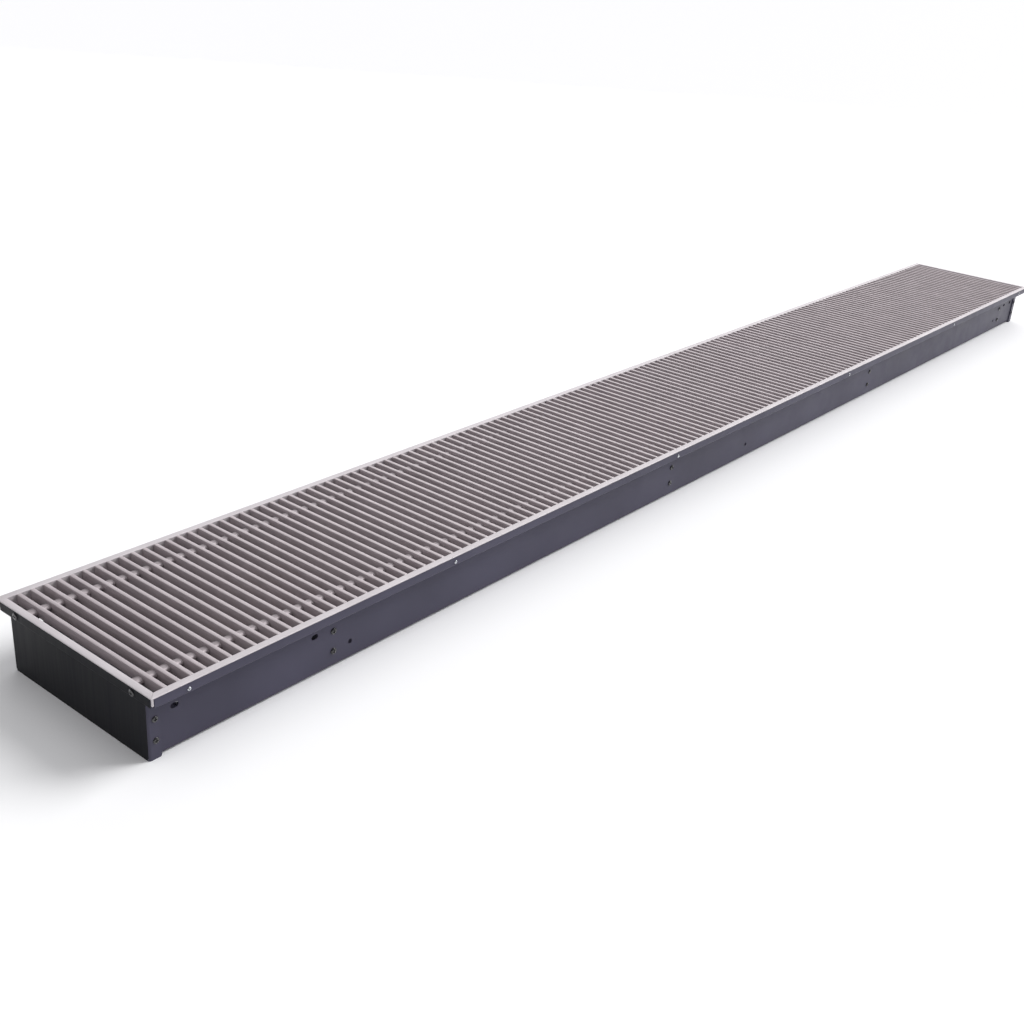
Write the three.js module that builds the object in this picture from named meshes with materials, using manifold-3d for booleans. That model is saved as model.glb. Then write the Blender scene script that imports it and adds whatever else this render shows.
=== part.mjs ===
// Trench convector heater: a long floor trough with a finned-tube heat exchanger,
// a light metal edge frame and a lift-out grille of cross bars.
// Millimetres. X runs along the trough from the valve end (-X) to the bend end (+X),
// -Y is the front wall, +Z is up. The origin is the middle of the footprint, on the floor.
import * as THREE from 'three';
import { mergeVertices } from 'three/addons/utils/BufferGeometryUtils.js';
import Module from 'manifold-3d';

const wasm = await Module();
wasm.setup();

// ---------------------------------------------------------------- driving dimensions

const OVERALL_HEIGHT = 94; // floor to the walking surface
const CASING_LENGTH = 2700; // over the two end caps
const CASING_WIDTH = 259; // over the two long walls
const SIDE_OVERHANG = 21.5; // frame edge beyond the long walls
const END_OVERHANG = 6; // frame edge beyond the end caps
const SEAT_GAP = 0.3; // clearance left between two seated pieces

const CASING_SHEET = 1.2; // steel of the trough's floor and side sheets
const CAP_SHEET = 2; // folded steel of the end caps
const BRACE_SHEET = 1.5; // folded steel of the cross braces
const BEND_RADIUS = 1.2; // inside radius of the folds
const TROUGH_LIFT = CAP_SHEET + SEAT_GAP; // the trough lies on the feet of the caps
const WALL_FOOT = 3; // a side sheet turns in this far to meet the floor sheet
const CAP_FLANGE = 17; // how far an end cap wraps round the trough
const CAP_FOOT_RADIUS = 3; // rounded lower corner of that flange
const LIP_END_GAP = 3; // the lips stop this far short of the corner
const LAP_JOGGLE = 0.1; // the floor sheet's ends are pressed up to lap on the caps' feet
const LAP_MARGIN = 1; // from that small step to the edge of a foot

const FRAME_WIDTH = 9.5; // visible width of the edge frame
const FRAME_WALL = 1.5; // thickness of its top and legs
const FRAME_DROP = 13; // top of the frame to the foot of its outer leg
const LIP_SETBACK = 2; // frame edge beyond the casing lip
const CORNER_KEY_ARM = 32; // arm of the cleat inside each frame corner
const CORNER_KEY_DEPTH = 9; // height of that cleat

const BAR_PITCH = 17.75; // grille bars, centre to centre
const BAR_WIDTH = 6;
const BAR_HEIGHT = 13.2;
const BAR_END_GAP = 0.5; // bar end to the inner leg of the frame
const ROD_OFFSET = 102; // spacer rods either side of the centre line
const ROD_DEPTH = 6.6; // rod axis below the top of the bars
const ROD_WIDTH = 5.4; // across the flats of the spacer rods
const STRIP_THICKNESS = 1.2; // damping strip under the bar ends
const STRIP_WIDTH = 9.5;

const BRACE_FIRST = 276; // first cross brace from the valve end
const BRACE_LAST = 110; // last cross brace from the bend end
const BRACE_COUNT = 4;
const BRACE_HEIGHT = 58; // above the floor, beside the exchanger
const BRACE_SADDLE = 43; // above the floor, between the tubes
const BRACE_TAB = 20; // width of the tabs screwed to the walls
const BRACE_TAB_FOOT = 8; // tabs start this far above the foot of the brace
const BRACE_SHOULDER = 12; // the brace rises again this far beyond the fins
const BRACE_SLOPE = 8; // run of the slope up to its full height

const TUBE_DIAMETER = 15;
const TUBE_WALL = 1;
const TUBE_SPREAD = 70; // supply to return, centre to centre
const TUBE_HEIGHT = 36; // axis above the floor
const TUBE_SIDES = 8;
const FIN_WIDTH = 140;
const FIN_HEIGHT = 50;
const FIN_THICKNESS = 0.8;
const FIN_PITCH = 90;
const FIN_COLLAR = 1; // wall of the collars that space the fins
const FIN_PACK_MARGIN = 14; // end of a fin pack to its cross brace

const ANCHOR_SLOT_LENGTH = 11;
const ANCHOR_SLOT_HEIGHT = 7;
const ANCHOR_SLOT_LEVEL = 56;
const ANCHOR_SLOT_END = 38; // slot to the end of the casing
const ANCHOR_SLOT_BRACE = 31; // slot to the outer cross brace
const WALL_HOLE_DIAMETER = 6.5;
const WALL_HOLE_LEVEL = 25.5;
const WALL_HOLE_BRACE = 29; // hole to the outer cross brace
const WALL_HOLE_MIDDLE = 1302; // middle hole from the valve end

const SUPPLY_VALVE_X = 110; // valve axes from the valve end
const RETURN_VALVE_X = 192;
const VALVE_BODY_DIAMETER = 26;
const VALVE_NECK_DIAMETER = 19;
const VALVE_NECK_LENGTH = 31; // body axis to the end of a neck
const VALVE_PORT_DIAMETER = 15; // blind bore seen in an open neck
const UNION_LENGTH = 16; // of the hexagon
const UNION_COLLAR = 5; // round collar behind it
const UNION_ACROSS_FLATS = 30;
const KNOB_DIAMETER = 33;
const KNOB_LENGTH = 30;
const KNOB_SKIRT = 7.5; // its plain tapered foot
const KNOB_RIBS = 12;
const KNOB_RIB_DEPTH = 1.5;
const BONNET_DIAMETER = 22; // the neck that the knob turns on
const BONNET_LENGTH = 14;
const LOCKSHIELD_CAP_DIAMETER = 24;
const LOCKSHIELD_CAP_LENGTH = 20;
const LOCKSHIELD_BONNET_DIAMETER = 16;
const LOCKSHIELD_BONNET_LENGTH = 12;
const SPINDLE_DIAMETER = 8;
const SPINDLE_LENGTH = 12;
const GROMMET_BORE = 18;
const GROMMET_HOLE = 28;
const GROMMET_LIP = 3; // how far the rubber laps over the sheet

const VENT_DIAMETER = 14;
const VENT_HEIGHT = 12;
const VENT_SCREW_DIAMETER = 6;

const LEVELLER_THREAD = 8;
const LEVELLER_LENGTH = 38; // foot to the top of the head
const LEVELLER_END = 62; // levelling screws to the end of the casing
const LEVELLER_SIDE = 26; // levelling screws to the long wall
const LEVELLER_NUT = 14;
const LEVELLER_NUT_HEIGHT = 6;
const LEVELLER_HEAD = 13; // across the flats of the screw's head
const LEVELLER_HEAD_HEIGHT = 5.5;
const SCREWDRIVER_SLOT = 1.2; // width of the slot in the vent screw's head
const SPINDLE_SLOT = 1.6;

// ---------------------------------------------------------------- derived places

const frameTop = OVERALL_HEIGHT;
const frameHalfLength = CASING_LENGTH / 2 + END_OVERHANG;
const frameHalfWidth = CASING_WIDTH / 2 + SIDE_OVERHANG;
const frameInnerX = frameHalfLength - FRAME_WIDTH;
const frameInnerY = frameHalfWidth - FRAME_WIDTH;
const lipTop = frameTop - FRAME_WALL - SEAT_GAP;
const grilleBottom = frameTop - BAR_HEIGHT;
const ledgeTop = grilleBottom - STRIP_THICKNESS - 2 * SEAT_GAP;
const ledgeUnder = ledgeTop - CASING_SHEET;
const wallOuter = CASING_WIDTH / 2;
const wallInner = wallOuter - CASING_SHEET;
const lipOuterY = frameHalfWidth - LIP_SETBACK;
const lipOuterX = frameHalfLength - LIP_SETBACK;
const capOuter = CASING_LENGTH / 2;
const capInner = capOuter - CAP_SHEET;
const troughEnd = capInner - BEND_RADIUS; // clear of the folds of the cap
const floorTop = TROUGH_LIFT + CASING_SHEET;
const braceStart = BRACE_FIRST - capOuter;
const bracePitch = (CASING_LENGTH - BRACE_FIRST - BRACE_LAST) / (BRACE_COUNT - 1);
const braceStations = Array.from({ length: BRACE_COUNT }, (_, i) => braceStart + i * bracePitch);
const tubeY = TUBE_SPREAD / 2;
const tubeRadius = TUBE_DIAMETER / 2;
const supplyValveX = SUPPLY_VALVE_X - capOuter;
const returnValveX = RETURN_VALVE_X - capOuter;
const bendStart = braceStations[BRACE_COUNT - 1] + FIN_PACK_MARGIN;

// ---------------------------------------------------------------- making solids

// A closed three.js geometry as a solid that can be joined and cut.
function solid(geometry) {
  const bare = geometry.clone();
  bare.deleteAttribute('normal');
  bare.deleteAttribute('uv');
  const merged = mergeVertices(bare, 1e-4);
  return new wasm.Manifold(new wasm.Mesh({
    numProp: 3,
    vertProperties: Float32Array.from(merged.attributes.position.array),
    triVerts: Uint32Array.from(merged.index.array),
  }));
}

// The finished solid as a geometry with flat-shaded faces.
function geometryOf(body) {
  const mesh = body.getMesh();
  const geometry = new THREE.BufferGeometry();
  geometry.setAttribute('position', new THREE.BufferAttribute(mesh.vertProperties, 3));
  geometry.setIndex(new THREE.BufferAttribute(mesh.triVerts, 1));
  return geometry;
}

function joined(bodies) {
  return bodies.reduce((sum, body) => sum.add(body));
}

function cut(body, tools) {
  return tools.reduce((rest, tool) => rest.subtract(tool), body);
}

function box(x0, x1, y0, y1, z0, z1) {
  const geometry = new THREE.BoxGeometry(x1 - x0, y1 - y0, z1 - z0);
  geometry.translate((x0 + x1) / 2, (y0 + y1) / 2, (z0 + z1) / 2);
  return solid(geometry);
}

// Directions that carry a flat outline (u, v) and its thickness into the part.
const X = new THREE.Vector3(1, 0, 0);
const Y = new THREE.Vector3(0, 1, 0);
const Z = new THREE.Vector3(0, 0, 1);
const ALONG_X = new THREE.Matrix4().makeBasis(Y, Z, X); // u = y, v = z
const ALONG_Y = new THREE.Matrix4().makeBasis(Z, X, Y); // u = z, v = x
const ALONG_Z = new THREE.Matrix4().makeBasis(X, Y, Z); // u = x, v = y

// An outline pushed from one place to another along one of those directions.
function extruded(shape, basis, from, to, curveSegments = 6) {
  const options = { depth: to - from, bevelEnabled: false, curveSegments };
  const geometry = new THREE.ExtrudeGeometry(shape, options);
  geometry.translate(0, 0, from);
  geometry.applyMatrix4(basis);
  return solid(geometry);
}

function polygon(points) {
  return new THREE.Shape(points.map(([u, v]) => new THREE.Vector2(u, v)));
}

// A regular outline with a flat at the right, sized across its flats.
function regular(acrossFlats, sides, u = 0, v = 0) {
  const radius = acrossFlats / 2 / Math.cos(Math.PI / sides);
  const corner = (i) => {
    const angle = ((i + 0.5) * 2 * Math.PI) / sides;
    return [u + radius * Math.cos(angle), v + radius * Math.sin(angle)];
  };
  return polygon(Array.from({ length: sides }, (_, i) => corner(i)));
}

function ring(outerFlats, innerFlats, sides, u = 0, v = 0, innerSides = sides) {
  const shape = regular(outerFlats, sides, u, v);
  shape.holes.push(regular(innerFlats, innerSides, u, v));
  return shape;
}

// The section of a folded sheet: its middle line, with a round bend at each inner point.
function foldedSheet(path, thickness, insideRadius, steps = 3) {
  const points = path.map(([u, v]) => new THREE.Vector2(u, v));
  const left = [];
  const right = [];
  const place = (point, direction) => {
    const normal = new THREE.Vector2(-direction.y, direction.x).multiplyScalar(thickness / 2);
    left.push(point.clone().add(normal));
    right.push(point.clone().sub(normal));
  };
  const bendRadius = insideRadius + thickness / 2;
  for (let i = 0; i < points.length; i++) {
    const before = points[i - 1];
    const after = points[i + 1];
    const into = before && points[i].clone().sub(before).normalize();
    const out = after && after.clone().sub(points[i]).normalize();
    if (!into || !out) {
      place(points[i], into || out);
      continue;
    }
    const turn = Math.atan2(into.cross(out), into.dot(out));
    const setback = bendRadius * Math.tan(Math.abs(turn) / 2);
    const start = points[i].clone().addScaledVector(into, -setback);
    const toCentre = new THREE.Vector2(-into.y, into.x).multiplyScalar(Math.sign(turn));
    const centre = start.clone().addScaledVector(toCentre, bendRadius);
    for (let step = 0; step <= steps; step++) {
      const angle = (turn * step) / steps;
      const direction = into.clone().rotateAround(new THREE.Vector2(), angle);
      place(start.clone().rotateAround(centre, angle), direction);
    }
  }
  return new THREE.Shape([...left, ...right.reverse()]);
}

// A slot outline with round ends, long in the second direction.
function slot(length, height, u, v) {
  const radius = height / 2;
  const reach = length / 2 - radius;
  const shape = new THREE.Shape();
  shape.absarc(u, v + reach, radius, 0, Math.PI, false);
  shape.absarc(u, v - reach, radius, Math.PI, 2 * Math.PI, false);
  return shape;
}

// A turned piece: its profile is a list of [radius, place along the axis].
function turned(profile, sides, axis) {
  const points = profile.map(([radius, along]) => new THREE.Vector2(radius, along));
  const geometry = new THREE.LatheGeometry(points, sides);
  if (axis === 'x') geometry.rotateZ(-Math.PI / 2);
  if (axis === 'z') geometry.rotateX(Math.PI / 2);
  return solid(geometry);
}

const part = new THREE.Group();

function addPart(name, body, look, x = 0, y = 0, z = 0) {
  const mesh = new THREE.Mesh(geometryOf(body), new THREE.MeshStandardMaterial(look));
  mesh.name = name;
  mesh.position.set(x, y, z);
  part.add(mesh);
}

const PAINTED_STEEL = { color: 0x2c2b30, roughness: 0.35, metalness: 0.3 };
const ANODISED = { color: 0xc9c1c4, roughness: 0.4, metalness: 0.9 };
const RUBBER = { color: 0x1a1a1a, roughness: 0.9, metalness: 0 };
const GALVANISED = { color: 0x8e9296, roughness: 0.45, metalness: 0.8 };
const COPPER = { color: 0xb87350, roughness: 0.35, metalness: 1 };
const FIN_ALUMINIUM = { color: 0xc4c6c8, roughness: 0.5, metalness: 0.9 };
const NICKEL = { color: 0xb9b5aa, roughness: 0.3, metalness: 1 };
const WHITE_PLASTIC = { color: 0xe9e8e4, roughness: 0.5, metalness: 0 };
const ZINC_STEEL = { color: 0xa9abad, roughness: 0.4, metalness: 0.9 };

// ---------------------------------------------------------------- trough

const pipeHoleXs = [supplyValveX, returnValveX];
const levellerXs = [-capOuter + LEVELLER_END, capOuter - LEVELLER_END];
const levellerY = wallOuter - LEVELLER_SIDE;

// Slots and holes lie alike in both long walls.
function wallCutters() {
  const firstBrace = braceStations[0];
  const lastBrace = braceStations[BRACE_COUNT - 1];
  const slotXs = [
    -capOuter + ANCHOR_SLOT_END,
    firstBrace - ANCHOR_SLOT_BRACE,
    lastBrace + ANCHOR_SLOT_BRACE,
    capOuter - ANCHOR_SLOT_END,
  ];
  const holeXs = [
    firstBrace + WALL_HOLE_BRACE,
    WALL_HOLE_MIDDLE - capOuter,
    lastBrace - WALL_HOLE_BRACE,
  ];
  const span = [wallInner - 1, wallOuter + 1];
  // On a wall the outline's u is the height and v the place along the trough.
  const slots = slotXs.map((x) => {
    const outline = slot(ANCHOR_SLOT_LENGTH, ANCHOR_SLOT_HEIGHT, ANCHOR_SLOT_LEVEL, x);
    return extruded(outline, ALONG_Y, ...span, 3);
  });
  const holes = holeXs.map((x) =>
    extruded(regular(WALL_HOLE_DIAMETER, 8, WALL_HOLE_LEVEL, x), ALONG_Y, ...span));
  return [...slots, ...holes];
}

// The floor sheet lies between the feet of the two side sheets, its ends lapped on the caps' feet.
function troughFloor() {
  const reach = wallOuter - WALL_FOOT - SEAT_GAP;
  const lap = capOuter - CAP_FLANGE - LAP_MARGIN;
  const raised = TROUGH_LIFT + LAP_JOGGLE;
  const under = [[TROUGH_LIFT, lap], [raised, lap], [raised, troughEnd]];
  const over = under.map(([z, x]) => [z + CASING_SHEET, x]).reverse();
  const rightHalf = [...under, ...over];
  const leftHalf = rightHalf.map(([z, x]) => [z, -x]).reverse();
  const sheet = extruded(polygon([...rightHalf, ...leftHalf]), ALONG_Y, -reach, reach);
  const levellerHoles = levellerXs.flatMap((x) => [-levellerY, levellerY].map((y) =>
    extruded(regular(LEVELLER_THREAD + 2 * SEAT_GAP, 8, x, y), ALONG_Z, 0, floorTop + 1)));
  return cut(sheet, levellerHoles);
}

// Drawn for the rear: a foot, the wall, the ledge that carries the grille, and the lip.
function troughSide(pipeHoles) {
  const lipY = lipOuterY - CASING_SHEET / 2;
  const wallY = wallOuter - CASING_SHEET / 2;
  const ledgeZ = ledgeTop - CASING_SHEET / 2;
  const floorZ = floorTop - CASING_SHEET / 2;
  const section = foldedSheet([
    [wallOuter - WALL_FOOT, floorZ], [wallY, floorZ], [wallY, ledgeZ],
    [lipY, ledgeZ], [lipY, lipTop],
  ], CASING_SHEET, BEND_RADIUS);
  const lipEnd = lipOuterX - LIP_END_GAP;
  const body = extruded(section, ALONG_X, -lipEnd, lipEnd);
  const lipInner = lipOuterY - CASING_SHEET;
  // Past the end of the wall only the lip runs on, to close up to the corner.
  const ends = [-1, 1].flatMap((side) => {
    const xs = [side * troughEnd, side * frameHalfLength].sort((a, b) => a - b);
    return [
      box(...xs, 0, lipInner, 0, frameTop),
      box(...xs, wallInner, frameHalfWidth, 0, ledgeTop + SEAT_GAP),
    ];
  });
  return cut(body, [...ends, ...wallCutters(), ...pipeHoles]);
}

const pipeHoles = pipeHoleXs.map((x) =>
  extruded(regular(GROMMET_HOLE, 12, TUBE_HEIGHT, x), ALONG_Y, wallInner - 1, wallOuter + 1));
addPart('trough_floor', troughFloor(), PAINTED_STEEL);
addPart('trough_side_rear', troughSide(pipeHoles), PAINTED_STEEL);
addPart('trough_side_front', troughSide([]).mirror([0, 1, 0]), PAINTED_STEEL);

// ---------------------------------------------------------------- end caps

// Drawn for the +X end: the plate, its ledge and lip, and flanges round the trough.
function endCap() {
  const flangeInner = wallOuter + SEAT_GAP;
  const flangeOuter = flangeInner + CAP_SHEET;
  const plateTop = ledgeTop;
  const flangeTop = ledgeUnder - BEND_RADIUS; // clear of the fold under the ledge
  const start = capOuter - CAP_FLANGE;
  const middleY = flangeOuter - CAP_SHEET / 2;
  const middleX = capOuter - CAP_SHEET / 2;
  const wrapEnd = start + CAP_FOOT_RADIUS;
  const wrap = foldedSheet(
    [[wrapEnd, -middleY], [middleX, -middleY], [middleX, middleY], [wrapEnd, middleY]],
    CAP_SHEET, BEND_RADIUS);
  const sleeve = extruded(wrap, ALONG_Z, 0, flangeTop);
  const flangeShape = new THREE.Shape();
  // u is the height and v the place along the trough.
  flangeShape.moveTo(0, wrapEnd + 1);
  flangeShape.lineTo(0, wrapEnd);
  flangeShape.absarc(CAP_FOOT_RADIUS, wrapEnd, CAP_FOOT_RADIUS, Math.PI, 1.5 * Math.PI, false);
  flangeShape.lineTo(flangeTop, start);
  flangeShape.lineTo(flangeTop, wrapEnd + 1);
  const flanges = [-1, 1].map((side) => {
    const ys = [side * flangeInner, side * flangeOuter].sort((a, b) => a - b);
    return extruded(flangeShape, ALONG_Y, ...ys, 4);
  });
  const lipY = lipOuterY - LIP_END_GAP;
  const lipX = lipOuterX - CAP_SHEET / 2;
  const ledgeZ = plateTop - CAP_SHEET / 2;
  const section = foldedSheet(
    [[start, CAP_SHEET / 2], [middleX, CAP_SHEET / 2], [middleX, ledgeZ]].map(([x, z]) => [z, x]),
    CAP_SHEET, BEND_RADIUS);
  const plate = extruded(section, ALONG_Y, -middleY, middleY);
  const rim = foldedSheet(
    [[ledgeZ, capInner], [ledgeZ, lipX], [lipTop, lipX]],
    CAP_SHEET, 0.3);
  const rimBody = extruded(rim, ALONG_Y, -lipY, lipY);
  return joined([sleeve, ...flanges, plate, rimBody]);
}

const endCapBody = endCap();
addPart('end_cap_bend_side', endCapBody, PAINTED_STEEL);
addPart('end_cap_valve_side', endCapBody.rotate([0, 0, 180]), PAINTED_STEEL);

// ---------------------------------------------------------------- edge frame

// A channel open downwards, seen along its run: across is the distance in from its outer edge.
function frameSection(halfSpan) {
  const outerLegOut = LIP_SETBACK + CAP_SHEET + SEAT_GAP;
  const outerLegIn = outerLegOut + FRAME_WALL;
  const innerLegOut = FRAME_WIDTH - FRAME_WALL;
  const under = frameTop - FRAME_WALL;
  const outline = [
    [0, frameTop], [0, under], [outerLegOut, under], [outerLegOut, frameTop - FRAME_DROP],
    [outerLegIn, frameTop - FRAME_DROP], [outerLegIn, under], [innerLegOut, under],
    [innerLegOut, ledgeTop + SEAT_GAP], [FRAME_WIDTH, ledgeTop + SEAT_GAP], [FRAME_WIDTH, frameTop],
  ];
  return outline.map(([across, z]) => [halfSpan - across, z]);
}

// The mitred plan of one frame bar: a trapezium that ends at 45 degrees.
function mitredPlan(halfRun, halfSpan) {
  const trim = SEAT_GAP * Math.SQRT1_2;
  const inset = FRAME_WIDTH;
  return [
    [-halfRun + trim, halfSpan], [-halfRun + inset + trim, halfSpan - inset],
    [halfRun - inset - trim, halfSpan - inset], [halfRun - trim, halfSpan],
  ];
}

function frameBar(halfRun, halfSpan) {
  const bar = extruded(polygon(frameSection(halfSpan)), ALONG_X, -halfRun, halfRun);
  const plan = extruded(polygon(mitredPlan(halfRun, halfSpan)), ALONG_Z, 0, frameTop + 1);
  return bar.intersect(plan);
}

const sideFrame = frameBar(frameHalfLength, frameHalfWidth);
const endFrame = frameBar(frameHalfWidth, frameHalfLength);
addPart('frame_side_rear', sideFrame, ANODISED);
addPart('frame_side_front', sideFrame.rotate([0, 0, 180]), ANODISED);
addPart('frame_end_bend_side', endFrame.rotate([0, 0, -90]), ANODISED);
addPart('frame_end_valve_side', endFrame.rotate([0, 0, 90]), ANODISED);

// Angle cleats that lie in the channel and hold each mitre together.
function cornerKey() {
  const outward = LIP_SETBACK + CAP_SHEET + FRAME_WALL + 2 * SEAT_GAP;
  const inward = FRAME_WIDTH - FRAME_WALL - SEAT_GAP;
  const top = frameTop - FRAME_WALL - SEAT_GAP;
  const x1 = frameHalfLength - outward;
  const y1 = frameHalfWidth - outward;
  const x0 = frameHalfLength - inward;
  const y0 = frameHalfWidth - inward;
  const plan = polygon([
    [x1, y1], [x1 - CORNER_KEY_ARM, y1], [x1 - CORNER_KEY_ARM, y0],
    [x0, y0], [x0, y1 - CORNER_KEY_ARM], [x1, y1 - CORNER_KEY_ARM],
  ]);
  return extruded(plan, ALONG_Z, top - CORNER_KEY_DEPTH, top);
}

const key = cornerKey();
addPart('frame_corner_key_1', key, ZINC_STEEL);
addPart('frame_corner_key_2', key.mirror([1, 0, 0]), ZINC_STEEL);
addPart('frame_corner_key_3', key.mirror([0, 1, 0]), ZINC_STEEL);
addPart('frame_corner_key_4', key.rotate([0, 0, 180]), ZINC_STEEL);

// ---------------------------------------------------------------- grille

// Cross bars threaded on two spacer rods: the rods reach the frame at both ends.
function grille() {
  const rodHalf = frameInnerX - SEAT_GAP;
  const barHalf = frameInnerY - BAR_END_GAP;
  const rodZ = frameTop - ROD_DEPTH;
  const rods = [-ROD_OFFSET, ROD_OFFSET].map((y) =>
    extruded(regular(ROD_WIDTH, 4, y, rodZ), ALONG_X, -rodHalf, rodHalf));
  const clear = BAR_PITCH / 2;
  const count = 1 + Math.floor((2 * frameInnerX - 2 * clear) / BAR_PITCH);
  const first = (-(count - 1) * BAR_PITCH) / 2;
  const bars = Array.from({ length: count }, (_, i) => {
    const x = first + i * BAR_PITCH;
    return box(x - BAR_WIDTH / 2, x + BAR_WIDTH / 2, -barHalf, barHalf, grilleBottom, frameTop);
  });
  return joined(rods).add(wasm.Manifold.compose(bars));
}

addPart('grille', grille(), ANODISED);

const stripOuter = frameInnerY - SEAT_GAP;
const stripEnd = frameInnerX - SEAT_GAP;
const stripBody = box(-stripEnd, stripEnd, stripOuter - STRIP_WIDTH, stripOuter,
  ledgeTop + SEAT_GAP, ledgeTop + SEAT_GAP + STRIP_THICKNESS);
addPart('damping_strip_rear', stripBody, RUBBER);
addPart('damping_strip_front', stripBody.mirror([0, 1, 0]), RUBBER);

// ---------------------------------------------------------------- cross braces

// A saddle plate between the walls: the tubes drop into its two notches.
function crossBrace() {
  const reach = wallInner - SEAT_GAP;
  const bottom = floorTop + SEAT_GAP;
  const notch = tubeRadius / Math.cos(Math.PI / TUBE_SIDES) + SEAT_GAP;
  const clip = 2 * BEND_RADIUS; // corners clipped round the folds of the trough
  const shoulder = FIN_WIDTH / 2 + BRACE_SHOULDER;
  const plate = new THREE.Shape();
  plate.moveTo(-reach, bottom + clip);
  plate.lineTo(-reach + clip, bottom);
  plate.lineTo(reach - clip, bottom);
  plate.lineTo(reach, bottom + clip);
  plate.lineTo(reach, BRACE_HEIGHT);
  plate.lineTo(shoulder + BRACE_SLOPE, BRACE_HEIGHT);
  plate.lineTo(shoulder, BRACE_SADDLE);
  for (const y of [tubeY, -tubeY]) {
    plate.lineTo(y + notch, BRACE_SADDLE);
    plate.absarc(y, TUBE_HEIGHT, notch, 0, Math.PI, true);
    plate.lineTo(y - notch, BRACE_SADDLE);
  }
  plate.lineTo(-shoulder, BRACE_SADDLE);
  plate.lineTo(-shoulder - BRACE_SLOPE, BRACE_HEIGHT);
  plate.lineTo(-reach, BRACE_HEIGHT);
  const web = extruded(plate, ALONG_X, -BRACE_TAB / 2, -BRACE_TAB / 2 + BRACE_SHEET);
  const tabs = [-1, 1].map((side) => {
    const ys = [side * (reach - BRACE_SHEET), side * reach].sort((a, b) => a - b);
    return box(-BRACE_TAB / 2, BRACE_TAB / 2, ...ys, bottom + BRACE_TAB_FOOT, BRACE_HEIGHT);
  });
  return joined([web, ...tabs]);
}

const brace = crossBrace();
braceStations.forEach((x, i) => addPart(`cross_brace_${i + 1}`, brace, GALVANISED, x));

// ---------------------------------------------------------------- heat exchanger

// Thin plates on two rows of collars, one pack in each bay between the cross braces.
function finPack(length) {
  const bore = TUBE_DIAMETER + 2 * SEAT_GAP;
  const collar = bore + 2 * FIN_COLLAR;
  const gaps = Math.round(length / FIN_PITCH);
  const pitch = (length - FIN_THICKNESS) / gaps;
  const bottom = TUBE_HEIGHT - FIN_HEIGHT / 2;
  const fins = Array.from({ length: gaps + 1 }, (_, i) => {
    const x = -length / 2 + i * pitch;
    return box(x, x + FIN_THICKNESS, -FIN_WIDTH / 2, FIN_WIDTH / 2, bottom, bottom + FIN_HEIGHT);
  });
  const rows = [-tubeY, tubeY];
  const collars = rows.map((y) =>
    extruded(regular(collar, TUBE_SIDES, y, TUBE_HEIGHT), ALONG_X, -length / 2, length / 2));
  const bores = rows.map((y) =>
    extruded(regular(bore, TUBE_SIDES, y, TUBE_HEIGHT), ALONG_X, -length / 2 - 1, length / 2 + 1));
  return cut(joined(collars).add(wasm.Manifold.compose(fins)), bores);
}

const packLength = bracePitch - 2 * FIN_PACK_MARGIN;
const pack = finPack(packLength);
for (let i = 0; i < BRACE_COUNT - 1; i++) {
  const middle = (braceStations[i] + braceStations[i + 1]) / 2;
  addPart(`fin_pack_${i + 1}`, pack, FIN_ALUMINIUM, middle);
}

const tubeSection = (y) =>
  ring(TUBE_DIAMETER, TUBE_DIAMETER - 2 * TUBE_WALL, TUBE_SIDES, y, TUBE_HEIGHT);
const supplyTubeStart = supplyValveX + VALVE_NECK_LENGTH + SEAT_GAP;
const returnTubeStart = returnValveX + VALVE_NECK_LENGTH + SEAT_GAP;
const tubeEnd = bendStart;
addPart('supply_tube', extruded(tubeSection(-tubeY), ALONG_X, supplyTubeStart, tubeEnd), COPPER);
addPart('return_tube', extruded(tubeSection(tubeY), ALONG_X, returnTubeStart, tubeEnd), COPPER);

// The half-round bend that joins the two tubes at the far end.
class HalfRound extends THREE.Curve {
  getPoint(t) {
    const angle = Math.PI * (t - 0.5);
    return new THREE.Vector3(tubeY * Math.cos(angle), tubeY * Math.sin(angle), 0);
  }
}

function returnBend() {
  const section = ring(TUBE_DIAMETER, TUBE_DIAMETER - 2 * TUBE_WALL, TUBE_SIDES);
  const options = { steps: 8, extrudePath: new HalfRound(), bevelEnabled: false };
  return solid(new THREE.ExtrudeGeometry(section, options));
}

const bendX = bendStart + SEAT_GAP;
const bendTop = bendX + tubeY;
const ventSeat = tubeRadius + SEAT_GAP;
const ventTop = ventSeat + VENT_HEIGHT;

// The vent stands on the crown of the bend.
function ventBody() {
  const bore = VENT_SCREW_DIAMETER / 2 + SEAT_GAP;
  const outer = VENT_DIAMETER / 2;
  return turned([
    [bore, ventSeat], [outer - 1.5, ventSeat], [outer - 1.5, ventSeat + 3], [outer, ventSeat + 4],
    [outer, ventTop - 1], [outer - 1, ventTop], [bore, ventTop], [bore, ventSeat],
  ], 12, 'z');
}

addPart('return_bend', returnBend(), COPPER, bendX, 0, TUBE_HEIGHT);
addPart('air_vent_body', ventBody(), NICKEL, bendTop, 0, TUBE_HEIGHT);

function ventScrew() {
  const stem = VENT_SCREW_DIAMETER / 2;
  const foot = ventSeat + 1;
  const headFoot = ventTop + SEAT_GAP;
  const body = turned([
    [0, foot], [stem, foot], [stem, headFoot], [VENT_SCREW_DIAMETER * 0.8, headFoot],
    [VENT_SCREW_DIAMETER * 0.8, headFoot + 4], [0, headFoot + 4],
  ], 12, 'z');
  const slotHalf = SCREWDRIVER_SLOT / 2;
  const groove = box(-VENT_SCREW_DIAMETER, VENT_SCREW_DIAMETER, -slotHalf, slotHalf,
    headFoot + 2.5, headFoot + 5);
  return body.subtract(groove);
}

addPart('air_vent_screw', ventScrew(), NICKEL, bendTop, 0, TUBE_HEIGHT);

// ---------------------------------------------------------------- valves

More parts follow.
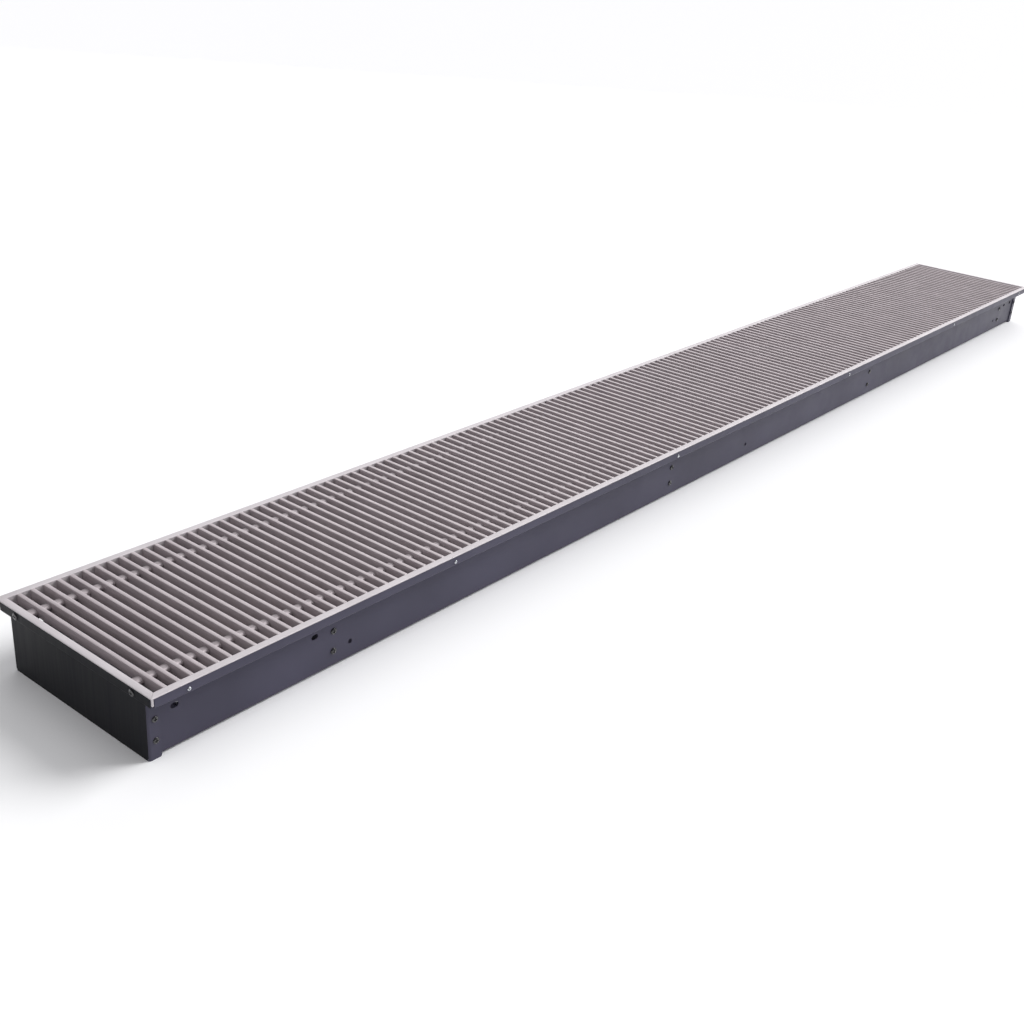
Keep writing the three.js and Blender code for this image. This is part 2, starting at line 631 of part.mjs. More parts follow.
// An angle valve lying on its side: outlet to +X, inlet to +Y, spindle to -X.
function angleValve(bonnetDiameter, bonnetLength, spindleBore) {
  const neck = VALVE_NECK_DIAMETER / 2;
  const barrel = VALVE_BODY_DIAMETER / 2;
  const reach = barrel + 1;
  const main = turned([
    [0, -reach - bonnetLength], [bonnetDiameter / 2, -reach - bonnetLength],
    [bonnetDiameter / 2, -reach], [barrel, -reach + 3], [barrel, reach - 3], [neck, reach],
    [neck, VALVE_NECK_LENGTH], [0, VALVE_NECK_LENGTH],
  ], 12, 'x');
  const inlet = turned([
    [0, 0], [neck, 0], [neck, reach], [neck + 3, reach + 1], [neck + 3, VALVE_NECK_LENGTH],
    [0, VALVE_NECK_LENGTH],
  ], 12, 'y');
  const port = VALVE_PORT_DIAMETER / 2;
  const mouth = VALVE_NECK_LENGTH + 1;
  const bore = [[0, reach], [port, reach], [port, mouth], [0, mouth]];
  const inletPort = turned(bore, 8, 'y');
  const outletPort = turned(bore, 8, 'x');
  const cutters = [inletPort, outletPort];
  if (spindleBore) {
    const foot = -reach - bonnetLength;
    const room = spindleBore / 2;
    const floor = foot + SPINDLE_LENGTH;
    cutters.push(turned([[0, foot - 1], [room, foot - 1], [room, floor], [0, floor]], 12, 'x'));
  }
  return cut(main.add(inlet), cutters);
}

const bodyReach = VALVE_BODY_DIAMETER / 2 + 1;
addPart('supply_valve_body', angleValve(BONNET_DIAMETER, BONNET_LENGTH, 0), NICKEL,
  supplyValveX, -tubeY, TUBE_HEIGHT);
const lockshieldBody =
  angleValve(LOCKSHIELD_BONNET_DIAMETER, LOCKSHIELD_BONNET_LENGTH, SPINDLE_DIAMETER + 2 * SEAT_GAP);
addPart('lockshield_body', lockshieldBody, NICKEL, returnValveX, tubeY, TUBE_HEIGHT);

// The nut that clamps a tube to an outlet neck; its origin is the end of that neck.
function unionNut() {
  const over = 2; // part of the hexagon that stands beyond the neck
  const hexagon = regular(UNION_ACROSS_FLATS, 6);
  const collar = regular(UNION_ACROSS_FLATS - 5, 12);
  const neckRoom = regular(VALVE_NECK_DIAMETER + 2 * SEAT_GAP, 12);
  const tubeRoom = regular(TUBE_DIAMETER + 2 * SEAT_GAP, TUBE_SIDES);
  const start = over - UNION_LENGTH;
  const end = over + UNION_COLLAR;
  const blank = extruded(hexagon, ALONG_X, start, over).add(extruded(collar, ALONG_X, over - 1, end));
  const rooms = [
    extruded(neckRoom, ALONG_X, start - 1, SEAT_GAP),
    extruded(tubeRoom, ALONG_X, 0, end + 1),
  ];
  return cut(blank, rooms);
}

const nut = unionNut();
addPart('supply_union_nut', nut, NICKEL, supplyValveX + VALVE_NECK_LENGTH, -tubeY, TUBE_HEIGHT);
addPart('return_union_nut', nut, NICKEL, returnValveX + VALVE_NECK_LENGTH, tubeY, TUBE_HEIGHT);

// Hand wheel of the supply valve: a ribbed cup that turns on the bonnet.
function valveKnob() {
  const outer = KNOB_DIAMETER / 2;
  const valley = outer - KNOB_RIB_DEPTH;
  const outline = Array.from({ length: KNOB_RIBS * 2 }, (_, i) => {
    const radius = i % 2 ? valley : outer;
    const angle = (i * Math.PI) / KNOB_RIBS;
    return [radius * Math.cos(angle), radius * Math.sin(angle)];
  });
  const cup = extruded(polygon(outline), ALONG_X, -KNOB_LENGTH, -KNOB_SKIRT);
  const skirt = turned([
    [0, -KNOB_SKIRT], [valley, -KNOB_SKIRT], [valley - 2, 0], [0, 0],
  ], 16, 'x');
  const room = BONNET_DIAMETER / 2 + SEAT_GAP;
  const hollow = turned([
    [0, -BONNET_LENGTH], [room, -BONNET_LENGTH], [room, 1], [0, 1],
  ], 16, 'x');
  return cup.add(skirt).subtract(hollow);
}

addPart('supply_valve_knob', valveKnob(), WHITE_PLASTIC,
  supplyValveX - bodyReach - 2 * SEAT_GAP, -tubeY, TUBE_HEIGHT);

function lockshieldSpindle() {
  const radius = SPINDLE_DIAMETER / 2;
  const body = turned([[0, 0], [radius, 0], [radius, SPINDLE_LENGTH - 2], [0, SPINDLE_LENGTH - 2]], 12, 'x');
  const slotHalf = SPINDLE_SLOT / 2;
  return body.subtract(box(-1, 2.5, -radius - 1, radius + 1, -slotHalf, slotHalf));
}

addPart('lockshield_spindle', lockshieldSpindle(), NICKEL,
  returnValveX - bodyReach - LOCKSHIELD_BONNET_LENGTH + SEAT_GAP, tubeY, TUBE_HEIGHT);

function lockshieldCap() {
  const outer = LOCKSHIELD_CAP_DIAMETER / 2;
  const room = LOCKSHIELD_BONNET_DIAMETER / 2 + SEAT_GAP;
  const top = -LOCKSHIELD_CAP_LENGTH;
  return turned([
    [0, top], [outer - 1.5, top], [outer, top + 1.5], [outer, -2 * SEAT_GAP],
    [room, -2 * SEAT_GAP], [room, top + 3], [0, top + 3],
  ], 16, 'x');
}

addPart('lockshield_cap', lockshieldCap(), WHITE_PLASTIC,
  returnValveX - bodyReach, tubeY, TUBE_HEIGHT);

// Rubber grommets that line the two pipe holes in the rear wall.
function grommet() {
  const groove = GROMMET_HOLE / 2 - SEAT_GAP;
  const lip = GROMMET_HOLE / 2 + GROMMET_LIP;
  const face = CASING_SHEET / 2 + SEAT_GAP;
  const bore = GROMMET_BORE / 2;
  return turned([
    [bore, -face - 2], [lip - 1, -face - 2], [lip, -face], [groove, -face], [groove, face],
    [lip, face], [lip - 1, face + 2], [bore, face + 2], [bore, -face - 2],
  ], 12, 'y');
}

const grommetBody = grommet();
const wallMiddle = wallOuter - CASING_SHEET / 2;
addPart('supply_pipe_grommet', grommetBody, RUBBER, supplyValveX, wallMiddle, TUBE_HEIGHT);
addPart('return_pipe_grommet', grommetBody, RUBBER, returnValveX, wallMiddle, TUBE_HEIGHT);

// ---------------------------------------------------------------- levelling screws

function levellerScrew() {
  const foot = TROUGH_LIFT + SEAT_GAP; // wound up, just above the underside of the floor
  const top = foot + LEVELLER_LENGTH;
  const stem = extruded(regular(LEVELLER_THREAD, 8), ALONG_Z, foot, top);
  const head = extruded(regular(LEVELLER_HEAD, 6), ALONG_Z, top - LEVELLER_HEAD_HEIGHT, top);
  return stem.add(head);
}

function levellerNut() {
  const bore = LEVELLER_THREAD + 2 * SEAT_GAP;
  const hexagon = ring(LEVELLER_NUT, bore, 6, 0, 0, 8);
  const seat = floorTop + SEAT_GAP;
  return extruded(hexagon, ALONG_Z, seat, seat + LEVELLER_NUT_HEIGHT);
}

const screwBody = levellerScrew();
const screwNut = levellerNut();
let corner = 1;
for (const x of levellerXs) {
  for (const y of [-levellerY, levellerY]) {
    addPart(`levelling_screw_${corner}`, screwBody, ZINC_STEEL, x, y);
    addPart(`levelling_nut_${corner}`, screwNut, ZINC_STEEL, x, y);
    corner += 1;
  }
}

export default part;
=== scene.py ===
import math

import bmesh
import bpy
import numpy as np
from mathutils import Matrix, Vector


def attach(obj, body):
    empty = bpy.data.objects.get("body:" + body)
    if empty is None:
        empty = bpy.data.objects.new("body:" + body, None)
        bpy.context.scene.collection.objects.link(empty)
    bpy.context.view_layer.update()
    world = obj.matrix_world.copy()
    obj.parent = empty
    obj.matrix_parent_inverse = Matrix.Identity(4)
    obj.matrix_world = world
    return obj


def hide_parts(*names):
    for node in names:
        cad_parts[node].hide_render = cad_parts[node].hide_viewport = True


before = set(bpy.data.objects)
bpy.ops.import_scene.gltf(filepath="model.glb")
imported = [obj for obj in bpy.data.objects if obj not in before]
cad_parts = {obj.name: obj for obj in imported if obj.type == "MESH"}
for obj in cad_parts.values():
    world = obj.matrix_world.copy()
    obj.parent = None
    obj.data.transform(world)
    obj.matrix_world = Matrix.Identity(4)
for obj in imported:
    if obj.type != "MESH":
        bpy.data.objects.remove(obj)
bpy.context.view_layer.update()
MM = 0.001  # sizes below are in millimetres, Blender works in metres


# ------------------------------------------------------------------ camera and studio
# A pinhole camera on the photograph's viewpoint, low over the valve end and looking
# along the trough. Round it: a pale matt floor and wide soft lights.

CAMERA_PLACE = (-2013.76, -1115.6, 860.85)
CAMERA_AZIMUTH = -52.449
CAMERA_ELEVATION = 25.019
CAMERA_ROLL = 4.358
CAMERA_LENS, CAMERA_SENSOR = 44.384, 36
CAMERA_NEAR, CAMERA_FAR = 0.05, 300  # metres

FLOOR_HALF = 60.0  # metres from the middle to the floor's edge
FLOOR_WHITE, SURROUND_WHITE = "#fdfdfe", "#fbfbff"
SURROUND_LIGHT, SURROUND_SEEN = 0.24, 1.06  # what lights the heater, what the camera sees
WINDOW_DIRECTION, WINDOW_SPREAD, WINDOW_ENERGY = (-0.80, 0.32, -0.62), 34, 2.8
CEILING_DIRECTION, CEILING_SPREAD, CEILING_ENERGY = (0.0, 0.0, -1.0), 76, 0.86
PANEL_PLACE, PANEL_SIZE, PANEL_POWER = (3.4, 2.9, 2.3), (5.4, 2.4), 70


def linear(hex_colour):
    """sRGB hex to linear light: below 0.04045 a twelfth part, above it the 2.4 power curve."""
    parts = [int(hex_colour[i : i + 2], 16) / 255 for i in (1, 3, 5)]
    light = [c / 12.92 if c <= 0.04045 else ((c + 0.055) / 1.055) ** 2.4 for c in parts]
    return (*light, 1.0)


def add_node(tree, kind, settings=None, links=None):
    """Adds one shader node, sets its properties and sockets, and links its inputs."""
    node = tree.nodes.new(kind)
    for key, value in (settings or {}).items():
        if isinstance(key, int) or key in node.inputs.keys():
            node.inputs[key].default_value = value
        else:
            setattr(node, key, value)
    for key, source in (links or {}).items():
        tree.links.new(source, node.inputs[key])
    return node


def new_material(name):
    """A node material, its tree, and the place on the piece that its textures start from."""
    material = bpy.data.materials.new(name)
    material.use_nodes = True
    tree = material.node_tree
    tree.nodes.clear()
    return material, tree, add_node(tree, "ShaderNodeTexCoord").outputs["Object"]


def shade(tree, settings, links=None):
    """One principled shader, from its own settings and from linked sockets, as the surface."""
    shader = add_node(tree, "ShaderNodeBsdfPrincipled", settings, links)
    add_node(tree, "ShaderNodeOutputMaterial", links={"Surface": shader.outputs["BSDF"]})


def make_camera():
    """Back, right and up axes from azimuth and elevation, then right and up turned by the roll."""
    azimuth, elevation = math.radians(CAMERA_AZIMUTH), math.radians(CAMERA_ELEVATION)
    roll = math.radians(CAMERA_ROLL)
    back = Vector((
        math.sin(azimuth) * math.cos(elevation),
        -math.cos(azimuth) * math.cos(elevation),
        math.sin(elevation),
    ))
    level = Vector((0, 0, 1)).cross(back).normalized()
    upright = back.cross(level)
    right = level * math.cos(roll) + upright * math.sin(roll)
    up = upright * math.cos(roll) - level * math.sin(roll)
    data = bpy.data.cameras.new("photo_camera")
    data.lens, data.sensor_width = CAMERA_LENS, CAMERA_SENSOR
    data.clip_start, data.clip_end = CAMERA_NEAR, CAMERA_FAR
    camera = bpy.data.objects.new("photo_camera", data)
    turn = Matrix((right, up, back)).transposed().to_4x4()
    camera.matrix_world = Matrix.Translation(Vector(CAMERA_PLACE) * MM) @ turn
    bpy.context.scene.collection.objects.link(camera)
    bpy.context.scene.camera = camera


def add_light(name, kind, direction, energy):
    """A light turned so that it shines along a direction: returns it with its data."""
    data = bpy.data.lights.new(name, kind)
    data.energy = energy
    light = bpy.data.objects.new(name, data)
    light.rotation_euler = Vector(direction).to_track_quat("-Z", "Y").to_euler()
    bpy.context.scene.collection.objects.link(light)
    return light, data


def add_far_light(name, direction, spread, energy):
    """A light far off, as wide in the sky as the spread in degrees."""
    _, data = add_light(name, "SUN", direction, energy)
    data.angle = math.radians(spread)


def add_panel_light(name, place, size, power):
    """A rectangular soft light at a place, in metres, that shines at the heater's middle."""
    light, data = add_light(name, "AREA", -Vector(place), power)
    light.location = place
    data.shape, data.size, data.size_y = "RECTANGLE", size[0], size[1]


def make_studio():
    """One big floor sheet at the height the heater stands on, an even pale surround that
    looks as pale as the floor, and three soft lights."""
    half = FLOOR_HALF
    mesh = bpy.data.meshes.new("studio_floor")
    corners = [(-half, -half, 0), (half, -half, 0), (half, half, 0), (-half, half, 0)]
    mesh.from_pydata(corners, [], [(0, 1, 2, 3)])
    floor = bpy.data.objects.new("studio_floor", mesh)
    bpy.context.scene.collection.objects.link(floor)
    material, tree, _ = new_material("pale_floor")
    shade(tree, {"Base Color": linear(FLOOR_WHITE), "Roughness": 0.85, "Specular IOR Level": 0.1})
    mesh.materials.append(material)
    world = bpy.data.worlds.new("studio_surround")
    world.use_nodes = True
    surround = world.node_tree.nodes["Background"]
    surround.inputs["Color"].default_value = linear(SURROUND_WHITE)
    seen = add_node(world.node_tree, "ShaderNodeLightPath")
    strength = add_node(
        world.node_tree, "ShaderNodeMath",
        {"operation": "MULTIPLY_ADD", 1: SURROUND_SEEN - SURROUND_LIGHT, 2: SURROUND_LIGHT},
        {0: seen.outputs["Is Camera Ray"]})
    world.node_tree.links.new(strength.outputs["Value"], surround.inputs["Strength"])
    bpy.context.scene.world = world
    add_far_light("window_light", WINDOW_DIRECTION, WINDOW_SPREAD, WINDOW_ENERGY)
    add_far_light("ceiling_light", CEILING_DIRECTION, CEILING_SPREAD, CEILING_ENERGY)
    add_panel_light("back_panel", PANEL_PLACE, PANEL_SIZE, PANEL_POWER)
    bpy.context.scene.view_settings.view_transform = "Standard"


make_camera()
make_studio()


# ------------------------------------------------------------------ painted steel trough
# A floor sheet and two side sheets, each side folded into wall, ledge and lip. They are
# stove-painted dark grey, semi-gloss, with a faint orange-peel skin.

PAINT_GREY = "#514f60"
PAINT_DARK = "#484655"
PAINT_ROUGHNESS, PAINT_GLOSS = 0.34, 0.14
PEEL_SIZE = 1.4  # millimetres from crest to crest


def noise(tree, place, scale, detail=2.0, roughness=0.5):
    """Soft noise over the piece, with the scale in cells to the metre."""
    settings = {"Scale": scale, "Detail": detail, "Roughness": roughness}
    return add_node(tree, "ShaderNodeTexNoise", settings, {"Vector": place}).outputs["Fac"]


def ramp(tree, factor, low, high, start=0.0, end=1.0):
    """The low colour up to the start of the factor, the high one from its end, blended between."""
    node = add_node(tree, "ShaderNodeValToRGB", links={"Fac": factor})
    first, last = node.color_ramp.elements
    first.color, first.position = linear(low), start
    last.color, last.position = linear(high), end
    return node.outputs["Color"]


def between(tree, factor, low, high, start=0.0, end=1.0):
    """A value that goes from low to high while the factor goes from start to end."""
    settings = {"From Min": start, "From Max": end, "To Min": low, "To Max": high}
    return add_node(tree, "ShaderNodeMapRange", settings, {"Value": factor}).outputs["Result"]


def relief(tree, height, strength, distance=0.0001):
    """A bump from a height, as deep as the distance in metres times the strength."""
    settings = {"Strength": strength, "Distance": distance}
    return add_node(tree, "ShaderNodeBump", settings, {"Height": height}).outputs["Normal"]


def painted_steel(name, light, dark, roughness, gloss, coat=0.0):
    """Polyester paint on steel: soft cloud variation in colour, fine orange peel in the bump."""
    material, tree, place = new_material(name)
    cloud, dust = noise(tree, place, 6.0, 3.0), noise(tree, place, 35.0, 6.0)
    peel = noise(tree, place, 1000 / PEEL_SIZE, 2.0, 0.4)
    shade(tree, {
        "IOR": 1.5, "Specular IOR Level": gloss, "Coat Weight": coat, "Coat Roughness": 0.12,
    }, {
        "Base Color": ramp(tree, cloud, dark, light, 0.3, 0.7),
        "Roughness": between(tree, dust, roughness - 0.04, roughness + 0.07, 0.35, 0.75),
        "Normal": relief(tree, peel, 0.035, 0.0002),
    })
    return material


def dress_node(node, material):
    """Puts a finish on a CAD node that keeps its own shape."""
    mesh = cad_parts[node].data
    mesh.materials.clear()
    mesh.materials.append(material)


stove_paint = painted_steel("stove_painted_steel", PAINT_GREY, PAINT_DARK, PAINT_ROUGHNESS,
                            PAINT_GLOSS)
for node in ("trough_floor", "trough_side_front", "trough_side_rear"):
    dress_node(node, stove_paint)


# ------------------------------------------------------------------ end caps
# Folded steel caps that wrap the trough's ends. The flanges have the trough's semi-gloss
# paint. The outer end faces are matt and near black, which is painted shade for the dark
# surroundings they mirror, and rolling marks show there as upright streaks.

# The end plate's near-black tones are painted shade, much darker than the trough's own paint.
CAP_SHADE_PAINT = "#14151c"
CAP_SHADE_PAINT_DARK = "#0d0e14"
STREAK_PITCH = 5.0  # millimetres
CAP_PLATE = 1350.0  # its outer face, from the middle of the trough
CAP_EDGE = 0.3  # the sheared edges are rounded by this much


def stretched(tree, place, scale):
    """The place scaled along X, Y and Z, so that a texture of scale 1 runs in streaks."""
    return add_node(tree, "ShaderNodeMapping", {"Scale": scale}, {"Vector": place}).outputs["Vector"]


def streaked_shade_paint():
    """Near-black matt paint, its darkness painted shade, with upright streaks: noise squeezed along X
    and Y, stretched along Z.
    """
    material, tree, place = new_material("streaked_matt_painted_shade")
    squeeze = 1000 / STREAK_PITCH
    streak = noise(tree, stretched(tree, place, (squeeze, squeeze, 6.0)), 1.0, 4.0)
    shade(tree, {"IOR": 1.5, "Specular IOR Level": 0.15}, {
        "Base Color": ramp(tree, streak, CAP_SHADE_PAINT_DARK, CAP_SHADE_PAINT, 0.35, 0.65),
        "Roughness": between(tree, streak, 0.42, 0.55, 0.3, 0.7),
        "Normal": relief(tree, streak, 0.12, 0.0002),
    })
    return material


def painted_cap(node, plate_shade_paint):
    """The cap's own solid with its flat faces made whole and its edges rounded. A face takes
    the near-black matt paint, which is painted shade, where all its corners lie in the plate's outer
    plane or beyond it."""
    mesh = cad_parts[node].data.copy()
    mesh.materials.clear()
    mesh.materials.append(stove_paint)
    mesh.materials.append(plate_shade_paint)
    work = bmesh.new()
    work.from_mesh(mesh)
    bmesh.ops.remove_doubles(work, verts=work.verts, dist=1e-6)
    bmesh.ops.dissolve_limit(work, angle_limit=math.radians(0.5), verts=work.verts, edges=work.edges)
    bmesh.ops.recalc_face_normals(work, faces=work.faces)
    for face in work.faces:
        # Faces on the outer plate take the painted shade.
        on_plate = all(abs(v.co.x) > (CAP_PLATE - 0.01) * MM for v in face.verts)
        face.material_index = 1 if on_plate else 0
    work.to_mesh(mesh)
    work.free()
    cap = bpy.data.objects.new(node + "_painted", mesh)
    bpy.context.scene.collection.objects.link(cap)
    edge = cap.modifiers.new("sheared_edges", "BEVEL")
    edge.width, edge.segments, edge.limit_method = CAP_EDGE * MM, 2, "ANGLE"
    edge.angle_limit = math.radians(50)
    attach(cap, "casing")
    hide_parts(node)


# The near-black plate paint is painted shade for the end faces.
cap_shade_paint = streaked_shade_paint()
painted_cap("end_cap_valve_side", cap_shade_paint)
painted_cap("end_cap_bend_side", cap_shade_paint)


# ------------------------------------------------------------------ edge frame
# Four extruded aluminium bars, natural anodised, mitred at the corners. The top is
# 9.5 mm wide with softened edges; an outer leg drops inside the casing's lip.

FRAME_LENGTH, FRAME_BREADTH, FRAME_TOP = 2712.0, 302.0, 94.0
FRAME_WIDTH, FRAME_WALL, FRAME_FOOT = 9.5, 1.5, 81.0
FRAME_LEDGE = 79.3
OUTER_LEG = (4.3, 5.8)  # from the frame's outer edge
EDGE_ROUND, LEG_ROUND, BEND_ROUND, FOLD_ROUND = 0.5, 0.5, 0.3, 0.15
MITRE_TRIM = 0.2
ARC_STEPS = 3
FRAME_ALLOY, FRAME_ALLOY_DEEP = "#d3cdd0", "#c5bfc2"
FRAME_ROUGHNESS, FRAME_METAL = 0.55, 0.3
DIE_LINES_ALONG, DIE_LINES_ACROSS = 40.0, 1500.0  # cells to the metre


def anodised_aluminium(name, base, deep, grain, roughness, metal):
    """Extruded aluminium, etched and anodised: fine die lines along the run, satin surface."""
    material, tree, place = new_material(name)
    lines = noise(tree, stretched(tree, place, grain), 1.0, 5.0, 0.6)
    mottle = noise(tree, place, 22.0, 2.0)
    mixed = add_node(tree, "ShaderNodeMath", {"operation": "MULTIPLY_ADD", 1: 0.35, 2: 0.0},
                     {0: mottle})
    both = add_node(tree, "ShaderNodeMath", {"operation": "MULTIPLY_ADD", 1: 0.65},
                    {0: lines, 2: mixed.outputs["Value"]})
    shade(tree, {"Metallic": metal}, {
        "Base Color": ramp(tree, both.outputs["Value"], deep, base, 0.38, 0.6),
        "Roughness": between(tree, lines, roughness - 0.05, roughness + 0.06, 0.3, 0.7),
        "Normal": relief(tree, lines, 0.1),
    })
    return material


def ring_faces(copies, rings, sides, loop):
    """Quads that join each ring to the next; the end rings are filled, or a loop joins them."""
    ring = np.arange(rings if loop else rings - 1)[None, :, None]
    side = np.arange(sides)[None, None, :]
    start = np.arange(copies)[:, None, None] * rings * sides
    after, beside = (ring + 1) % rings, (side + 1) % sides
    corners = [ring * sides + side, ring * sides + beside, after * sides + beside, after * sides + side]
    faces = np.stack([start + c for c in corners], -1).reshape(-1, 4).tolist()
    if not loop:
        first = np.arange(sides)[::-1]
        last = (rings - 1) * sides + np.arange(sides)
        faces += [f for c in range(copies) for f in (
            (first + c * rings * sides).tolist(), (last + c * rings * sides).tolist())]
    return faces


def add_piece(name, blocks, material, body, stands_for=(), smooth_angle=35.0):
    """One mesh from blocks of rings. A block is (points, loop): points are (copies, rings,
    sides, 3) in millimetres; a loop block joins its last ring to its first."""
    points, faces, offset = [], [], 0
    for block, loop in blocks:
        block = np.asarray(block, float)
        copies, rings, sides, _ = block.shape
        faces += [[i + offset for i in f] for f in ring_faces(copies, rings, sides, loop)]
        points.append(block.reshape(-1, 3))
        offset += copies * rings * sides
    mesh = bpy.data.meshes.new(name)
    mesh.from_pydata((np.concatenate(points) * MM).tolist(), [], faces)
    work = bmesh.new()
    work.from_mesh(mesh)
    bmesh.ops.remove_doubles(work, verts=work.verts, dist=1e-7)
    bmesh.ops.recalc_face_normals(work, faces=work.faces)
    work.to_mesh(mesh)
    work.free()
    mesh.polygons.foreach_set("use_smooth", np.ones(len(mesh.polygons), bool))
    mesh.set_sharp_from_angle(angle=math.radians(smooth_angle))
    mesh.materials.append(material)
    piece = bpy.data.objects.new(name, mesh)
    bpy.context.scene.collection.objects.link(piece)
    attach(piece, body)
    if stands_for:
        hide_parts(*stands_for)


def rounded(corners, radius):
    """A closed outline with each corner replaced by an arc: the arc's centre lies on the
    corner's bisector, and its ends where the two sides leave the corner."""
    corners = np.asarray(corners, float)
    radius = np.broadcast_to(radius, len(corners))
    before, after = np.roll(corners, 1, 0) - corners, np.roll(corners, -1, 0) - corners
    before /= np.linalg.norm(before, axis=1, keepdims=True)
    after /= np.linalg.norm(after, axis=1, keepdims=True)
    half = np.arccos(np.clip((before * after).sum(1), -1, 1)) / 2
    reach = radius / np.tan(half)
    t = np.linspace(0, 1, ARC_STEPS + 1)[None, :, None]
    start = corners + before * reach[:, None]
    end = corners + after * reach[:, None]
    # A quadratic curve through the corner stays within a few microns of the arc here.
    arc = (1 - t) ** 2 * start[:, None] + 2 * t * (1 - t) * corners[:, None] + t**2 * end[:, None]
    return arc.reshape(-1, 2)


def frame_outline():
    """The channel section: (distance in from the outer edge, height)."""
    under = FRAME_TOP - FRAME_WALL
    inner = FRAME_WIDTH - FRAME_WALL
    corners = [
        (0, FRAME_TOP), (0, under), (OUTER_LEG[0], under), (OUTER_LEG[0], FRAME_FOOT),
        (OUTER_LEG[1], FRAME_FOOT), (OUTER_LEG[1], under), (inner, under), (inner, FRAME_LEDGE),
        (FRAME_WIDTH, FRAME_LEDGE), (FRAME_WIDTH, FRAME_TOP),
    ]
    radii = [EDGE_ROUND, BEND_ROUND, FOLD_ROUND, LEG_ROUND, LEG_ROUND, FOLD_ROUND, FOLD_ROUND,
             BEND_ROUND, BEND_ROUND, EDGE_ROUND]
    return rounded(corners, radii)


def frame_bar(half_run, half_span, turn):
    """The section carried along one side; each point ends at the mitre, so the run is
    shorter by its distance in from the edge. The bar is then turned about the middle."""
    across, height = frame_outline().T
    reach = half_run - across - MITRE_TRIM
    steps = np.linspace(-1, 1, 25)[:, None]
    along = steps * reach
    side = np.broadcast_to(half_span - across, along.shape)
    up = np.broadcast_to(height, along.shape)
    c, s = round(math.cos(turn)), round(math.sin(turn))
    return np.stack([c * along - s * side, s * along + c * side, up], -1)[None]


frame_alloy = anodised_aluminium(
    "anodised_frame_alloy", FRAME_ALLOY, FRAME_ALLOY_DEEP,
    (DIE_LINES_ALONG, DIE_LINES_ACROSS, DIE_LINES_ACROSS), FRAME_ROUGHNESS, FRAME_METAL)
frame_alloy_cross = anodised_aluminium(
    "anodised_frame_alloy_cross", FRAME_ALLOY, FRAME_ALLOY_DEEP,
    (DIE_LINES_ACROSS, DIE_LINES_ALONG, DIE_LINES_ACROSS), FRAME_ROUGHNESS, FRAME_METAL)
half_length, half_breadth = FRAME_LENGTH / 2, FRAME_BREADTH / 2
for name, run, span, turn, alloy in [
    ("frame_side_rear", half_length, half_breadth, 0.0, frame_alloy),
    ("frame_side_front", half_length, half_breadth, math.pi, frame_alloy),
    ("frame_end_bend_side", half_breadth, half_length, -math.pi / 2, frame_alloy_cross),
    ("frame_end_valve_side", half_breadth, half_length, math.pi / 2, frame_alloy_cross),
]:
    add_piece(name + "_trim", [(frame_bar(run, span, turn), False)], alloy, "casing",
              [name])

# A short post under each mitre fills the gap between the side lip and the end lip.
POST_INNER, POST_OUTER = (1351.7, 146.7), (1353.9, 148.9)
POST_FOOT, POST_TOP, POST_ROUND = 81.6, 92.5, 0.4


def corner_post(x_side, y_side):
    """A square bar stood on end with rounded edges; the foot's rings shrink toward its
    middle, which gives the rounded lower end."""
    (x0, y0), (x1, y1) = POST_INNER, POST_OUTER
    outline = rounded([(x0, y0), (x1, y0), (x1, y1), (x0, y1)], POST_ROUND)
    middle = np.array([(x0 + x1) / 2, (y0 + y1) / 2])
    heights = np.array([POST_FOOT, POST_FOOT + 0.25, POST_FOOT + 0.9, POST_TOP])[:, None]
    scale = np.array([0.35, 0.75, 1.0, 1.0])[:, None, None]
    ring = middle + (outline[None] - middle) * scale
    up = np.broadcast_to(heights, ring.shape[:2])
    return np.stack([x_side * ring[..., 0], y_side * ring[..., 1], up], -1)[None]


posts = [(corner_post(a, b), False) for a in (-1, 1) for b in (-1, 1)]
add_piece("frame_corner_posts", posts, frame_alloy, "casing")


# ------------------------------------------------------------------ grille bars
# 151 solid aluminium bars, 6 by 13 mm, lie across the opening. Their top edges are
# softened, and their sawn ends stand just inside the frame.

BAR_COUNT, BAR_PITCH = 151, 17.75
BAR_WIDTH, BAR_HEIGHT, BAR_LENGTH = 6.0, 13.2, 282.0
BAR_ROUND, BAR_FOOT_ROUND, SAW_CHAMFER = 1.1, 0.4, 0.3
BAR_LIGHT, BAR_DEEP = "#c7bec1", "#b7aeb1"
bar_alloy = anodised_aluminium("anodised_bar_alloy", BAR_LIGHT, BAR_DEEP,
                               (1200.0, 30.0, 1200.0), 0.5, 0.45)


def grille_bars():
    """A rounded rectangle in X and Z, drawn along Y: the end rings shrink by the chamfer of
    the saw cut. One copy for each multiple of the pitch."""
    low, top, half = FRAME_TOP - BAR_HEIGHT, FRAME_TOP, BAR_WIDTH / 2
    section = rounded([(-half, low), (half, low), (half, top), (-half, top)],
                      [BAR_FOOT_ROUND, BAR_FOOT_ROUND, BAR_ROUND, BAR_ROUND])
    end = BAR_LENGTH / 2
    stations = np.array([-end, -end + SAW_CHAMFER, -80, -27, 27, 80, end - SAW_CHAMFER, end])
    shrink = np.array([SAW_CHAMFER, 0, 0, 0, 0, 0, 0, SAW_CHAMFER])[:, None, None]
    middle = np.array([0, (low + top) / 2])
    inward = -np.sign(section - middle)
    ring = section[None] + inward[None] * shrink
    bar = np.stack([ring[..., 0], np.broadcast_to(stations[:, None], ring.shape[:2]), ring[..., 1]], -1)
    places = (np.arange(BAR_COUNT) - (BAR_COUNT - 1) / 2) * BAR_PITCH
    return bar[None] + np.stack([places, 0 * places, 0 * places], -1)[:, None, None, :]


# ------------------------------------------------------------------ grille spacers
# Two rows of flat oval aluminium sleeves, low on a rod through the bars, keep the bars
# apart. The end sleeves reach the frame, so the panel sits centred in its opening.

